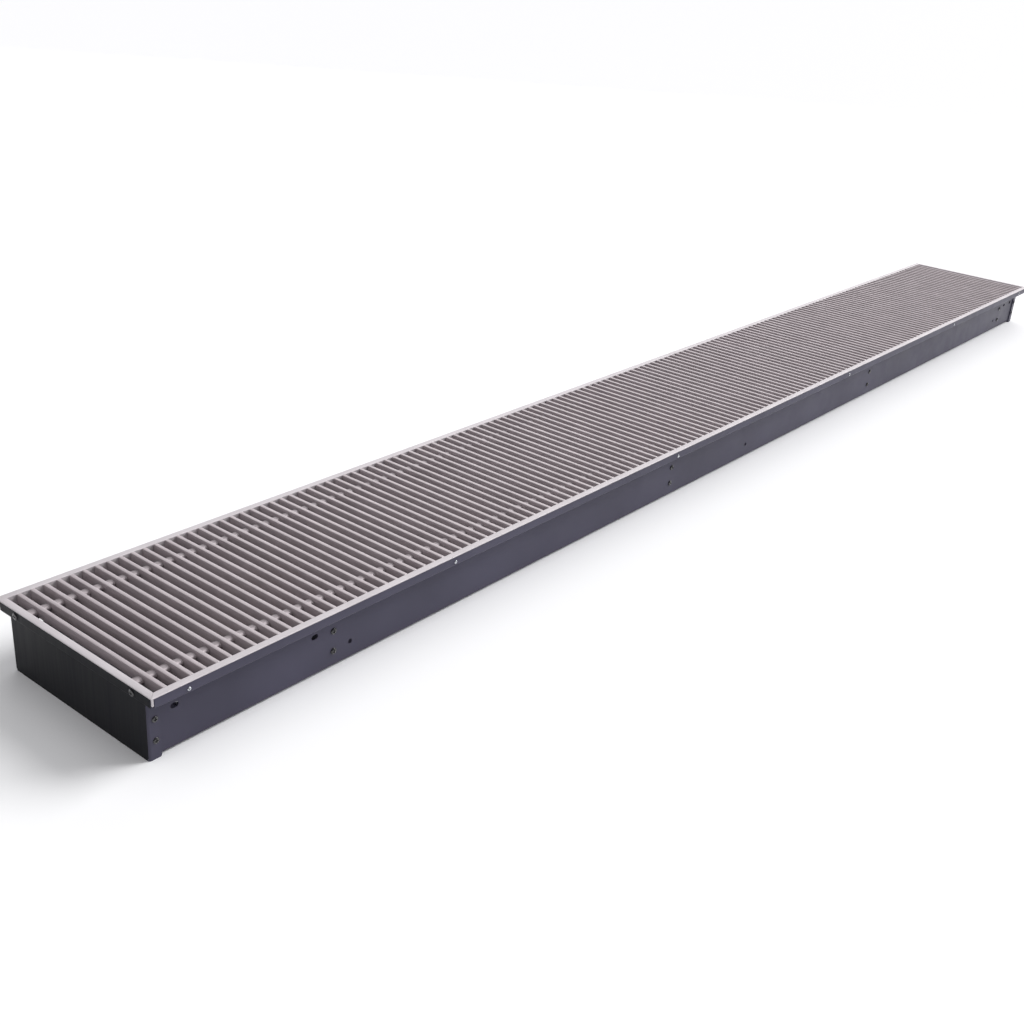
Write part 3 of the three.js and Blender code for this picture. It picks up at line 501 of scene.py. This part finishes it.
SLEEVE_THICK, SLEEVE_BREADTH, SLEEVE_BORE = 9.2, 13.0, 3.0
SLEEVE_OFFSET, SLEEVE_DEPTH, SLEEVE_CHAMFER, SLEEVE_SIDES = 102.0, 7.8, 0.4, 20
PANEL_HALF = 1346.2  # to the ends of the end sleeves


def around(profile, sides, origin, axis):
    """Turned shape: each (radius, along) of the profile becomes a ring about the axis."""
    profile = np.asarray(profile, float)
    angle = np.arange(sides) * 2 * math.pi / sides
    radius, along = profile[:, 0, None], profile[:, 1, None] + 0 * angle
    round_a, round_b = radius * np.cos(angle), radius * np.sin(angle)
    order = {"x": (along, round_a, round_b), "y": (round_b, along, round_a),
             "z": (round_a, round_b, along)}[axis]
    return np.stack(order, -1)[None] + np.asarray(origin, float)


def copies_at(shape, places):
    """The one shape of a block repeated at each place."""
    return shape + np.asarray(places, float)[:, None, None, :]


def sleeve_between(reach):
    """A tube from one side of its middle to the other, stretched in Y to an oval."""
    outer, inner, cut = SLEEVE_THICK / 2, SLEEVE_BORE / 2, SLEEVE_CHAMFER
    profile = [(inner, -reach), (outer - cut, -reach), (outer, -reach + cut), (outer, reach - cut),
               (outer - cut, reach), (inner, reach)]
    oval = np.array([1, SLEEVE_BREADTH / SLEEVE_THICK, 1])
    return around(profile, SLEEVE_SIDES, (0, 0, FRAME_TOP - SLEEVE_DEPTH), "x") * oval


def spacer_sleeves():
    """A sleeve in each bay, whose middle is half a pitch from a bar, one from the last bar to
    each end of the panel, and a rod through them all; the same in both rows."""
    rows = (-SLEEVE_OFFSET, SLEEVE_OFFSET)
    bays = (np.arange(BAR_COUNT - 1) - (BAR_COUNT - 2) / 2) * BAR_PITCH
    last_bar = (BAR_COUNT - 1) / 2 * BAR_PITCH + BAR_WIDTH / 2
    reach = (PANEL_HALF - last_bar) / 2
    ends = (-last_bar - reach, last_bar + reach)
    rod_end, rod = PANEL_HALF - 1, SLEEVE_BORE / 2 - 0.1
    rods = around([(0.01, -rod_end), (rod, -rod_end), (rod, rod_end), (0.01, rod_end)], 10,
                  (0, 0, FRAME_TOP - SLEEVE_DEPTH), "x")
    return [(copies_at(sleeve_between((BAR_PITCH - BAR_WIDTH) / 2),
                       [(x, y, 0) for y in rows for x in bays]), True),
            (copies_at(sleeve_between(reach), [(x, y, 0) for y in rows for x in ends]), True),
            (copies_at(rods, [(0, y, 0) for y in rows]), False)]


add_piece("grille_bars", [(grille_bars(), False)], bar_alloy, "grille_panel",
          ["grille"])
sleeve_alloy = anodised_aluminium("anodised_sleeve_alloy", "#aaa1a4", "#968e91",
                                  (60.0, 900.0, 900.0), 0.5, 0.5)
add_piece("grille_spacers", spacer_sleeves(), sleeve_alloy, "grille_panel")


# ------------------------------------------------------------------ screws
# Pan-head steel screws with a cross recess. Those into the braces and caps, and those in
# the end lips, are painted black; the small ones in the side lips are bright zinc.

WALL_FACE, CAP_FACE, LIP_FACE, END_LIP_FACE = 129.5, 131.8, 149.0, 1354.0
BRACES_AT = (-1074.0, -302.67, 468.67, 1240.0)
BRACE_SCREW_HEIGHTS = (52.0, 23.5)
CAP_SCREW_X, CAP_SCREW_HEIGHTS = 1340.0, (52.0, 24.0)
LIP_SCREW_XS = (-1306.0, -871.0, -320.0, 320.0, 871.0, 1306.0)
LIP_SCREW_HEIGHT, END_LIP_SCREW_Y = 83.5, 113.0
WING_HALF, WING_REACH = 0.13, 0.56  # of the cross recess, in parts of the head's radius


def pan_head(diameter, height, recess):
    """A dome, height times the root of one less 0.86 r squared, with a cross sunk in its
    middle, where the smaller of |x| and |y| is under a wing's half width."""
    rings, sides = 14, 48
    r = np.linspace(0.02, 1, rings)[:, None]
    angle = (np.arange(sides) * 2 * math.pi / sides)[None, :]
    x, y = r * np.cos(angle), r * np.sin(angle)
    dome = height * np.sqrt(np.clip(1 - 0.86 * r**2, 0, 1)) + 0 * angle
    wing = np.minimum(abs(x), abs(y))
    inside = np.clip((WING_HALF - wing) / 0.05, 0, 1) * np.clip((WING_REACH - r) / 0.08, 0, 1)
    top = dome - recess * inside
    half = diameter / 2
    foot = np.stack([half * np.cos(angle), half * np.sin(angle), 0 * angle], -1)
    return np.concatenate([np.stack([half * x, half * y, top], -1), foot], 0)[None]


def face_outward(head, direction):
    """Turns a head whose axis is +Z to look along one of the four walls' outward normals."""
    a, b, c = head[..., 0], head[..., 1], head[..., 2]
    turned = {"-y": (a, -c, b), "+y": (-a, c, b), "-x": (-c, -a, b), "+x": (c, a, b)}[direction]
    return np.stack(turned, -1)


def screws_on_walls(head, xs, heights, face):
    """The same head at each station and height on the front and the rear wall."""
    blocks = []
    for direction, y in (("-y", -face), ("+y", face)):
        places = [(x, y, z) for x in xs for z in heights]
        blocks.append((copies_at(face_outward(head, direction), places), False))
    return blocks


painted_screw = painted_steel("painted_screw", "#1d1c20", "#151418", 0.22, 0.7, 0.4)
brace_head = pan_head(9.0, 2.6, 1.9)
add_piece("brace_screws", screws_on_walls(brace_head, BRACES_AT, BRACE_SCREW_HEIGHTS, WALL_FACE),
          painted_screw, "casing", smooth_angle=50)
cap_head = pan_head(8.0, 2.0, 1.6)
add_piece("cap_screws",
          screws_on_walls(cap_head, (-CAP_SCREW_X, CAP_SCREW_X), CAP_SCREW_HEIGHTS, CAP_FACE),
          painted_screw, "casing", smooth_angle=50)


def zinc_plate(name, light, deep, roughness):
    """Electroplated zinc on steel: bright, a little cloudy, with a bluish passivation."""
    material, tree, place = new_material(name)
    cloud = noise(tree, place, 180.0, 4.0)
    shade(tree, {"Metallic": 1.0}, {
        "Base Color": ramp(tree, cloud, deep, light),
        "Roughness": between(tree, cloud, roughness - 0.06, roughness + 0.08, 0.3, 0.7),
        "Normal": relief(tree, cloud, 0.08),
    })
    return material


bright_zinc = zinc_plate("bright_zinc_plate", "#d3d5d8", "#a9adb2", 0.26)
lip_head = pan_head(5.0, 1.6, 1.2)
add_piece("lip_screws", screws_on_walls(lip_head, LIP_SCREW_XS, (LIP_SCREW_HEIGHT,), LIP_FACE),
          bright_zinc, "casing", smooth_angle=50)
end_lip_head = pan_head(9.0, 1.9, 1.4)
end_blocks = []
for direction, x in (("-x", -END_LIP_FACE), ("+x", END_LIP_FACE)):
    places = [(x, y, LIP_SCREW_HEIGHT) for y in (-END_LIP_SCREW_Y, END_LIP_SCREW_Y)]
    end_blocks.append((copies_at(face_outward(end_lip_head, direction), places), False))
add_piece("end_lip_screws", end_blocks, painted_screw, "casing", smooth_angle=50)
for number in (1, 2, 3, 4):
    dress_node(f"frame_corner_key_{number}", bright_zinc)


# ------------------------------------------------------------------ damping strips
# Extruded black rubber strips on the ledges. The bar ends rest on soft ribs, which keep
# the grille from rattling underfoot.

STRIP_OUTER, STRIP_WIDTH, STRIP_LOW, STRIP_TOP, STRIP_HALF = 141.2, 9.5, 79.3, 80.5, 1346.2
RIB_TURNS, RIB_DEPTH = 3, 0.5


def black_rubber():
    """Moulded EPDM rubber: matt, with a dusty bloom and a fine grain."""
    material, tree, place = new_material("epdm_rubber")
    shade(tree, {"Roughness": 0.8, "Specular IOR Level": 0.35}, {
        "Base Color": ramp(tree, noise(tree, place, 60.0, 5.0), "#151516", "#2b2b2c"),
        "Normal": relief(tree, noise(tree, place, 2500.0), 0.2),
    })
    return material


rubber = black_rubber()


def ribbed_strip(side):
    """A flat back and a top that waves as the cosine of three turns over the width."""
    t = np.linspace(0, 1, 37)
    top = STRIP_TOP - RIB_DEPTH / 2 * (1 + np.cos(2 * math.pi * RIB_TURNS * t))
    across = STRIP_OUTER - STRIP_WIDTH * t
    outline = np.concatenate([np.stack([across, top], -1),
                              [(STRIP_OUTER - STRIP_WIDTH, STRIP_LOW), (STRIP_OUTER, STRIP_LOW)]])
    stations = np.linspace(-STRIP_HALF, STRIP_HALF, 9)[:, None]
    shape = np.broadcast_arrays(stations, side * outline[None, :, 0], outline[None, :, 1])
    return np.stack(shape, -1)[None]


for name, side in (("damping_strip_front", -1), ("damping_strip_rear", 1)):
    add_piece(name + "_ribbed", [(ribbed_strip(side), False)], rubber, "casing", [name])


# ------------------------------------------------------------------ cross braces
# Pressed from galvanised sheet, with two notches for the tubes and a tab at each wall.
# Hot-dip zinc leaves a spangle of grey crystals, here about 7 mm across.

SPANGLE = 7.0


def galvanised_sheet():
    """Zinc crystals: Voronoi cells, each with its own grey and its own gloss."""
    material, tree, place = new_material("hot_dip_galvanised")
    crystal = add_node(tree, "ShaderNodeTexVoronoi", {"Scale": 1000 / SPANGLE}, {"Vector": place})
    grey = add_node(tree, "ShaderNodeRGBToBW", links={"Color": crystal.outputs["Color"]})
    shade(tree, {"Metallic": 1.0}, {
        "Base Color": ramp(tree, grey.outputs["Val"], "#82868a", "#b4b7ba"),
        "Roughness": between(tree, grey.outputs["Val"], 0.32, 0.55),
        "Normal": relief(tree, crystal.outputs["Distance"], 0.05),
    })
    return material


galvanised = galvanised_sheet()
for number in (1, 2, 3, 4):
    dress_node(f"cross_brace_{number}", galvanised)


# ------------------------------------------------------------------ fin packs
# Thin aluminium plates pressed on to the tubes, 4 mm apart on the real pitch. Each has
# shallow waves that stir the air, and a collar at each tube that spaces it from the next.

FIN_PITCH_SHOWN, FIN_SHEET = 4.0, 0.35
FIN_HALF_WIDTH, FIN_LOW, FIN_TOP = 70.0, 11.0, 61.0
TUBE_Y, TUBE_Z, TUBE_RADIUS = 35.0, 36.0, 7.5
FIN_WAVE, FIN_WAVE_TURNS = 0.5, 1.5  # the wave's height, and its turns in half the width
PACK_MARGIN, COLLAR_RADIUS = 14.0, 8.6


def fin_sheet():
    """Mill-finish aluminium: pale, with rolling lines across the plate."""
    material, tree, place = new_material("mill_finish_aluminium")
    lines = noise(tree, stretched(tree, place, (300.0, 25.0, 900.0)), 1.0, 4.0)
    shade(tree, {"Metallic": 0.7}, {
        "Base Color": ramp(tree, lines, "#d9dadc", "#eeeff0"),
        "Roughness": between(tree, lines, 0.35, 0.5),
    })
    return material


fin_alloy = fin_sheet()


def fin_pack(start, end):
    """A plate is a strip of rings across Y: x waves as the sine of y, and each ring is the
    thin rectangle of the sheet. Collars are sleeves between plates on both tubes."""
    count = int((end - start) // FIN_PITCH_SHOWN)
    places = np.linspace(start + FIN_SHEET, end - FIN_SHEET, count)
    y = np.linspace(-FIN_HALF_WIDTH, FIN_HALF_WIDTH, 15)[:, None]
    wave = FIN_WAVE * np.sin(y / FIN_HALF_WIDTH * math.pi * 2 * FIN_WAVE_TURNS)
    half = FIN_SHEET / 2
    sx, sz = np.array([-half, half, half, -half]), np.array([FIN_LOW, FIN_LOW, FIN_TOP, FIN_TOP])
    plate = np.stack(np.broadcast_arrays(wave + sx, y, sz), -1)[None]
    zero = np.zeros(count)
    plates = copies_at(plate, np.stack([places, zero, zero], -1))
    half_gap = (places[1] - places[0]) / 2
    collar = [(COLLAR_RADIUS, -half_gap), (COLLAR_RADIUS - 0.5, -half_gap + 0.8),
              (COLLAR_RADIUS - 0.5, half_gap - 0.8), (COLLAR_RADIUS, half_gap)]
    middles = places[:-1] + half_gap
    blocks = [(plates, False)]
    for side in (-1, 1):
        sleeve = around(collar, 20, (0, side * TUBE_Y, TUBE_Z), "x")
        blocks.append((copies_at(sleeve, np.stack([middles, zero[1:], zero[1:]], -1)), False))
    return blocks


for number in (1, 2, 3):
    start, end = BRACES_AT[number - 1] + PACK_MARGIN, BRACES_AT[number] - PACK_MARGIN
    add_piece(f"fin_pack_{number}_plates", fin_pack(start, end), fin_alloy, "casing",
              [f"fin_pack_{number}"])


# ------------------------------------------------------------------ copper tubes and bend
# Two 15 mm drawn copper tubes run the length of the trough and meet in a bend that is
# brazed on. Handling and heat have browned the copper in patches.

TUBE_BORE = 6.5
SUPPLY_TUBE_START, RETURN_TUBE_START, TUBE_END = -1208.7, -1126.7, 1254.0
BEND_START = 1254.3


def drawn_copper():
    """Copper with brown tarnish in clouds, duller where it is browner."""
    material, tree, place = new_material("drawn_copper")
    cloud = noise(tree, place, 28.0, 6.0, 0.6)
    shade(tree, {"Metallic": 1.0}, {
        "Base Color": ramp(tree, cloud, "#8d4f36", "#d08a68", 0.35, 0.62),
        "Roughness": between(tree, cloud, 0.5, 0.24, 0.35, 0.65),
    })
    return material


copper = drawn_copper()


def straight_tube(start, end, y):
    """A closed wall section, outside and bore, turned about the tube's axis."""
    wall = [(TUBE_RADIUS, start), (TUBE_RADIUS, end), (TUBE_BORE, end), (TUBE_BORE, start)]
    return around(wall, 32, (0, y, TUBE_Z), "x")


for name, start, y in (("supply_tube", SUPPLY_TUBE_START, -TUBE_Y),
                       ("return_tube", RETURN_TUBE_START, TUBE_Y)):
    add_piece(name + "_drawn", [(straight_tube(start, TUBE_END, y), True)], copper, "casing",
              [name])


def half_round_bend():
    """The tube's wall carried round a half circle: at angle a the ring's centre is the bend
    radius times (cos a, sin a), and its outward direction the same. The outer wall runs
    one way and the bore runs back, so the section closes on itself."""
    sweep = np.linspace(-math.pi / 2, math.pi / 2, 25)[:, None, None]
    wall = np.array([TUBE_RADIUS, TUBE_BORE])[None, None, :]
    angle = (np.arange(28) * 2 * math.pi / 28)[None, :, None]
    out = TUBE_Y + wall * np.cos(angle)
    x = BEND_START + out * np.cos(sweep)
    y = out * np.sin(sweep)
    z = TUBE_Z + wall * np.sin(angle) + 0 * sweep
    skins = np.stack(np.broadcast_arrays(x, y, z), -1)
    closed = np.concatenate([skins[:, :, 0], skins[::-1, :, 1]], 0)
    return closed[None]


def brazed_sleeve(y):
    """The belled end of the bend over the tube, with a thin fillet of braze."""
    r = TUBE_RADIUS
    profile = [(r + 0.05, -9), (r + 0.7, -8.2), (r + 0.9, -7), (r + 0.9, 1.5), (r + 0.4, 3),
               (r + 0.02, 4.5), (r - 0.2, 4.5), (r - 0.2, -9)]
    return around(profile, 32, (BEND_START, y, TUBE_Z), "x")


add_piece("return_bend_brazed",
          [(half_round_bend(), True), (brazed_sleeve(-TUBE_Y), True), (brazed_sleeve(TUBE_Y), True)],
          copper, "casing", ["return_bend"])


# ------------------------------------------------------------------ air vent
# A nickel-plated brass vent on the crown of the bend: a turned body with a saddle foot,
# and a slotted screw that is opened two turns to let air out.

VENT_X, VENT_RADIUS, VENT_HEIGHT, VENT_SEAT = 1289.3, 7.0, 12.0, 43.8
VENT_SCREW_RADIUS, KEY_RADIUS, KEY_HEIGHT = 3.0, 4.8, 4.0
KEY_SLOT_HALF, KEY_SLOT_DEPTH = 0.6, 1.6


def nickel_plate():
    """Nickel on machined brass: warm grey, with a fine grain and soft wear."""
    material, tree, place = new_material("nickel_plated_brass")
    cloud = noise(tree, place, 90.0, 5.0)
    shade(tree, {"Metallic": 1.0}, {
        "Base Color": ramp(tree, cloud, "#a8a294", "#d0ccc2"),
        "Roughness": between(tree, cloud, 0.16, 0.38),
        "Normal": relief(tree, noise(tree, place, 1400.0, 1.0), 0.05),
    })
    return material


nickel = nickel_plate()


def vent_body():
    """A stepped, grooved bush with an open bore; its foot flares on to the tube."""
    bore, r, foot, top = VENT_SCREW_RADIUS + 0.3, VENT_RADIUS, VENT_SEAT, VENT_SEAT + VENT_HEIGHT
    profile = [(bore, foot - 0.1), (6.2, foot - 0.1), (5.6, foot + 1.2), (5.5, foot + 3),
               (r - 0.4, foot + 3.6), (r, foot + 4), (r, foot + 6), (r - 0.5, foot + 6.4),
               (r - 0.5, foot + 7), (r, foot + 7.4), (r, top - 0.8), (r - 0.8, top), (bore, top)]
    return around(profile, 40, (VENT_X, 0, 0), "z")


def slotted_head(radius, low, top, slot_half, slot_depth, x=0.0, y=0.0):
    """A disc of rings with a soft edge, its top sunk where |y| is within the slot's half width."""
    rings, sides = 10, 48
    r = np.linspace(0.02, 1, rings)[:, None]
    angle = (np.arange(sides) * 2 * math.pi / sides)[None, :]
    px, py = radius * r * np.cos(angle), radius * r * np.sin(angle)
    edge = np.clip((r - 0.86) / 0.14, 0, 1) ** 2 * 0.5
    sunk = slot_depth * np.clip((slot_half + 0.15 - abs(py)) / 0.15, 0, 1)
    height = np.maximum(top - edge - sunk, low + 0.1)
    head = np.stack([px, py, height], -1)
    foot = np.stack([radius * np.cos(angle), radius * np.sin(angle), low + 0 * angle], -1)
    return np.concatenate([head, foot], 0)[None] + np.array([x, y, 0])


add_piece("air_vent_bush", [(vent_body(), True)], nickel, "casing", ["air_vent_body"])
vent_top = VENT_SEAT + VENT_HEIGHT
key_low, stem_low, stem_top = vent_top + 0.3, VENT_SEAT + 1, vent_top + 0.5
add_piece("air_vent_key_screw", [
    (slotted_head(KEY_RADIUS, key_low, vent_top + 0.3 + KEY_HEIGHT, KEY_SLOT_HALF, KEY_SLOT_DEPTH,
                  VENT_X), False),
    (around([(0.01, stem_low), (VENT_SCREW_RADIUS, stem_low), (VENT_SCREW_RADIUS, stem_top),
             (0.01, stem_top)], 24, (VENT_X, 0, 0), "z"), False),
], nickel, "vent_screw", ["air_vent_screw"], smooth_angle=50)


# ------------------------------------------------------------------ valve bodies
# Forged and turned brass angle valves, nickel plated, one on each tube. The outlet goes
# to the tube, the inlet turns to the rear wall, and the spindle lies along the trough.

SUPPLY_X, RETURN_X = -1240.0, -1158.0
BARREL, NECK, NECK_END, PORT = 13.0, 9.5, 31.0, 7.5
SUPPLY_BONNET, LOCKSHIELD_BONNET = (11.0, 14.0, 0), (8.0, 12.0, 4.3)  # radius, length, bore


def inlet_branch(x, y):
    """The branch toward the rear wall: neck, round land and open port."""
    profile = [(PORT, 14), (PORT, NECK_END), (12.0, NECK_END), (12.5, NECK_END - 0.6),
               (12.5, 15.6), (12.0, 15), (NECK, 14.2), (NECK, 2), (PORT, 2)]
    return around(profile, 40, (x, y, TUBE_Z), "y")


def port_floor(x, y):
    """The dark back of the open port."""
    return around([(0.01, 13.0), (PORT + 0.2, 13.0), (PORT + 0.2, 14.6), (0.01, 14.6)], 32,
                  (x, y, TUBE_Z), "y")


def barrel(x, y, bonnet_radius, bonnet_length, bore):
    """The body along X from the bonnet to the outlet, with soft forged shoulders."""
    reach = BARREL + 1
    foot = -reach - bonnet_length
    profile = [(bonnet_radius - 0.5, foot), (bonnet_radius, foot + 0.5),
               (bonnet_radius, -reach), (BARREL - 0.6, -reach + 2.2), (BARREL, -reach + 4),
               (BARREL, reach - 4), (BARREL - 0.6, reach - 2.2), (NECK, reach),
               (NECK, NECK_END), (0.01, NECK_END)]
    if bore:
        profile = [(0.01, foot + 12), (bore, foot + 12), (bore, foot)] + profile
    else:
        profile = [(0.01, foot)] + profile
    return around(profile, 40, (x, y, TUBE_Z), "x")


def body_blocks(x, y, *bonnet):
    """The three blocks of one valve body at its place."""
    return [(barrel(x, y, *bonnet), False), (inlet_branch(x, y), True), (port_floor(x, y), False)]


add_piece("supply_valve_casting", body_blocks(SUPPLY_X, -TUBE_Y, *SUPPLY_BONNET), nickel, "casing",
          ["supply_valve_body"])
add_piece("lockshield_casting", body_blocks(RETURN_X, TUBE_Y, *LOCKSHIELD_BONNET), nickel, "casing",
          ["lockshield_body"])


# ------------------------------------------------------------------ union nuts
# Hexagon nuts of plated brass that clamp the tubes to the valves. The corners are
# turned off at 30 degrees, as on any machined nut.

NUT_FLATS, NUT_START, NUT_END, NUT_COLLAR = 30.0, -14.0, 2.0, 12.5


def hexagon_ring(flats, sides):
    """The angles round a hexagon, and its radius there: half the width over the flats, over
    the cosine of the angle to the nearest flat's middle."""
    angle = np.arange(sides) * 2 * math.pi / sides
    return angle, flats / 2 / np.cos((angle + math.pi / 6) % (math.pi / 3) - math.pi / 6)


def union_nut(x, y):
    """A hexagon whose end faces are limited to a cone, which gives the curved chamfers, a
    round collar toward the tube, and a stepped bore."""
    sides = 72
    angle, hexagon = hexagon_ring(NUT_FLATS, sides)
    limit = NUT_FLATS / 2 + 0.1
    rings = [
        (np.full(sides, 9.8), NUT_START), (np.minimum(hexagon, limit), NUT_START),
        (np.minimum(hexagon, limit + 1.0), NUT_START + 0.7), (hexagon, NUT_START + 1.6),
        (hexagon, NUT_END - 1.6), (np.minimum(hexagon, limit + 1.0), NUT_END - 0.7),
        (np.minimum(hexagon, limit), NUT_END), (np.full(sides, NUT_COLLAR), NUT_END),
        (np.full(sides, NUT_COLLAR), NUT_END + 4.4), (np.full(sides, NUT_COLLAR - 0.6), NUT_END + 5),
        (np.full(sides, 7.8), NUT_END + 5), (np.full(sides, 7.8), 0.3), (np.full(sides, 9.8), 0.3),
    ]
    radius = np.array([r for r, _ in rings])
    along = np.array([a for _, a in rings])[:, None] + 0 * angle
    return np.stack([x + along, y + radius * np.cos(angle), TUBE_Z + radius * np.sin(angle)], -1)[None]


add_piece("supply_union_nut_turned", [(union_nut(SUPPLY_X + NECK_END, -TUBE_Y), True)], nickel,
          "casing", ["supply_union_nut"])
add_piece("return_union_nut_turned", [(union_nut(RETURN_X + NECK_END, TUBE_Y), True)], nickel,
          "casing", ["return_union_nut"])


# ------------------------------------------------------------------ valve knob and cover
# Injection-moulded white plastic. The knob has twelve finger flutes and turns on the
# bonnet; the smooth cover is pushed over the lockshield's spindle.

KNOB_FOOT, KNOB_FLUTES, FLUTE_DEPTH = -1254.6, 12, 1.3
COVER_START, STEM_START = RETURN_X - 14.0, -1174.0
STEM_RADIUS, STEM_SLOT_HALF, STEM_SLOT_DEPTH = 3.9, 0.7, 2.4


def white_plastic():
    """Moulded ABS with a spark-eroded grain and a faint yellowing."""
    material, tree, place = new_material("moulded_white_plastic")
    shade(tree, {
        "Roughness": 0.42, "IOR": 1.53, "Subsurface Weight": 0.04,
        "Subsurface Radius": (0.002, 0.002, 0.0015),
    }, {
        "Base Color": ramp(tree, noise(tree, place, 40.0, 3.0), "#dedcd5", "#ecebe6"),
        "Normal": relief(tree, noise(tree, place, 2200.0, 1.0), 0.12),
    })
    return material


plastic = white_plastic()


def fluted_knob():
    """Radius less a flute term: the eighth power of a cosine gives narrow valleys. A row of
    the profile is radius, place along the axis, and how full the flutes are; they fade out
    at both ends, and the profile ends in a hollow over the bonnet."""
    sides = 144
    angle = np.arange(sides) * 2 * math.pi / sides
    valley = np.cos(angle * KNOB_FLUTES / 2) ** 8
    profile = np.array([
        (0.01, -30.0, 0), (11.0, -30.0, 0), (14.6, -29.4, 0), (15.9, -28.2, 0.5), (16.4, -26.5, 1),
        (16.4, -22.0, 1), (16.4, -16.0, 1), (16.4, -11.0, 1), (16.2, -8.5, 0.6), (15.4, -7.0, 0),
        (14.6, -3.0, 0), (13.4, -0.2, 0), (13.0, 0.0, 0), (11.4, 0.0, 0), (11.4, -13.9, 0),
        (0.01, -13.9, 0),
    ])
    radius = profile[:, 0, None] - FLUTE_DEPTH * profile[:, 2, None] * valley
    along = profile[:, 1, None] + 0 * angle
    return np.stack([KNOB_FOOT + along, -TUBE_Y + radius * np.cos(angle),
                     TUBE_Z + radius * np.sin(angle)], -1)[None]


add_piece("supply_knob_fluted", [(fluted_knob(), False)], plastic, "supply_knob",
          ["supply_valve_knob"])

cover_profile = [(0.01, -20.0), (9.5, -20.0), (11.2, -19.4), (11.9, -18.0), (12.0, -1.2),
                 (11.7, -0.6), (8.5, -0.6), (8.5, -17.0), (0.01, -17.0)]
cover = around(cover_profile, 48, (COVER_START, TUBE_Y, TUBE_Z), "x")
add_piece("lockshield_push_cover", [(cover, False)], plastic, "lockshield_cover",
          ["lockshield_cap"])

stem = slotted_head(STEM_RADIUS, 0.2, 9.7, STEM_SLOT_HALF, STEM_SLOT_DEPTH)
stem = np.stack([STEM_START - stem[..., 2], TUBE_Y + stem[..., 0], TUBE_Z + stem[..., 1]], -1)
add_piece("lockshield_slotted_stem", [(stem, False)], nickel, "lockshield_stem",
          ["lockshield_spindle"], smooth_angle=50)


# ------------------------------------------------------------------ pipe grommets
# Rubber rings snapped into the two holes of the rear wall, where the building's pipes
# come in. A round lip laps over the sheet on both faces.

WALL_MIDDLE = 128.9
LIP_MIDDLE, LIP_BULGE, LIP_HEIGHT, LIP_HALF = 14.4, 2.5, 1.75, 0.95


def grommet(x):
    """A spool's half section: two full round lips and the groove that holds the sheet."""
    turn = np.linspace(0, math.pi, 9)
    lip = np.stack([LIP_MIDDLE + LIP_BULGE * np.sin(turn), LIP_HEIGHT - LIP_HALF * np.cos(turn)], -1)
    inner = [(9.4, 2.9), (9.0, 2.4), (9.0, -2.4), (9.4, -2.9)]
    near = lip * (1, -1)
    profile = np.concatenate([[(13.7, -0.8), (13.7, 0.8)], lip, inner, near[::-1]])
    return around(profile, 48, (x, WALL_MIDDLE, TUBE_Z), "y")


for name, x in (("supply_pipe_grommet", SUPPLY_X), ("return_pipe_grommet", RETURN_X)):
    add_piece(name + "_moulded", [(grommet(x), True)], rubber, "casing", [name])


# ------------------------------------------------------------------ levelling screws
# Zinc-plated M8 screws at the four corners of the trough's floor, each in a nut welded
# to the sheet. Turning a screw lifts or lowers that corner on to the slab.

LEVEL_X, LEVEL_Y = 1288.0, 103.5
LEVEL_FOOT, LEVEL_HEAD, LEVEL_TOP = 2.6, 35.1, 40.6
THREAD_PITCH, THREAD_RADIUS, THREAD_DEPTH = 1.25, 4.0, 0.6
HEAD_FLATS = 13.0
WELD_NUT_LOW, WELD_NUT_TOP, WELD_NUT_FLATS, WELD_NUT_BORE = 3.8, 9.8, 14.0, 4.3


def threaded_stem(x, y):
    """Radius falls by the thread's depth as a triangle wave of height less turn times pitch,
    so the crest climbs one pitch each turn round the stem."""
    z = np.arange(LEVEL_FOOT + 0.1, LEVEL_HEAD + 0.5, THREAD_PITCH / 6)[:, None]
    sides = 18
    angle = (np.arange(sides) * 2 * math.pi / sides)[None, :]
    phase = (z / THREAD_PITCH - angle / (2 * math.pi)) % 1
    radius = THREAD_RADIUS - THREAD_DEPTH * (1 - abs(2 * phase - 1))
    shape = np.broadcast_arrays(x + radius * np.cos(angle), y + radius * np.sin(angle), z)
    return np.stack(shape, -1)[None]


def hexagon_block(x, y, low, top, flats, bore=0.0):
    """A short hexagon with its corners turned off; with a bore it closes on itself."""
    sides = 48
    angle, hexagon = hexagon_ring(flats, sides)
    crown = np.minimum(hexagon, flats / 2 + 0.15)
    hole = np.full(sides, max(bore, 0.01))
    rings = [(hole, low), (crown, low), (hexagon, low + 0.7), (hexagon, top - 0.7), (crown, top),
             (hole, top)]
    radius = np.array([r for r, _ in rings])
    height = np.array([h for _, h in rings])[:, None] + 0 * angle
    return np.stack([x + radius * np.cos(angle), y + radius * np.sin(angle), height], -1)[None]


corners = [(x, y) for x in (-LEVEL_X, LEVEL_X) for y in (-LEVEL_Y, LEVEL_Y)]
for number, (x, y) in enumerate(corners, 1):
    head = hexagon_block(x, y, LEVEL_HEAD, LEVEL_TOP, HEAD_FLATS)
    nut = hexagon_block(x, y, WELD_NUT_LOW, WELD_NUT_TOP, WELD_NUT_FLATS, WELD_NUT_BORE)
    add_piece(f"levelling_screw_{number}_threaded", [(threaded_stem(x, y), False), (head, False)],
              bright_zinc, f"level_screw_{number}", [f"levelling_screw_{number}"],
              smooth_angle=50)
    add_piece(f"levelling_nut_{number}_hexagon", [(nut, True)], bright_zinc, "casing",
              [f"levelling_nut_{number}"])
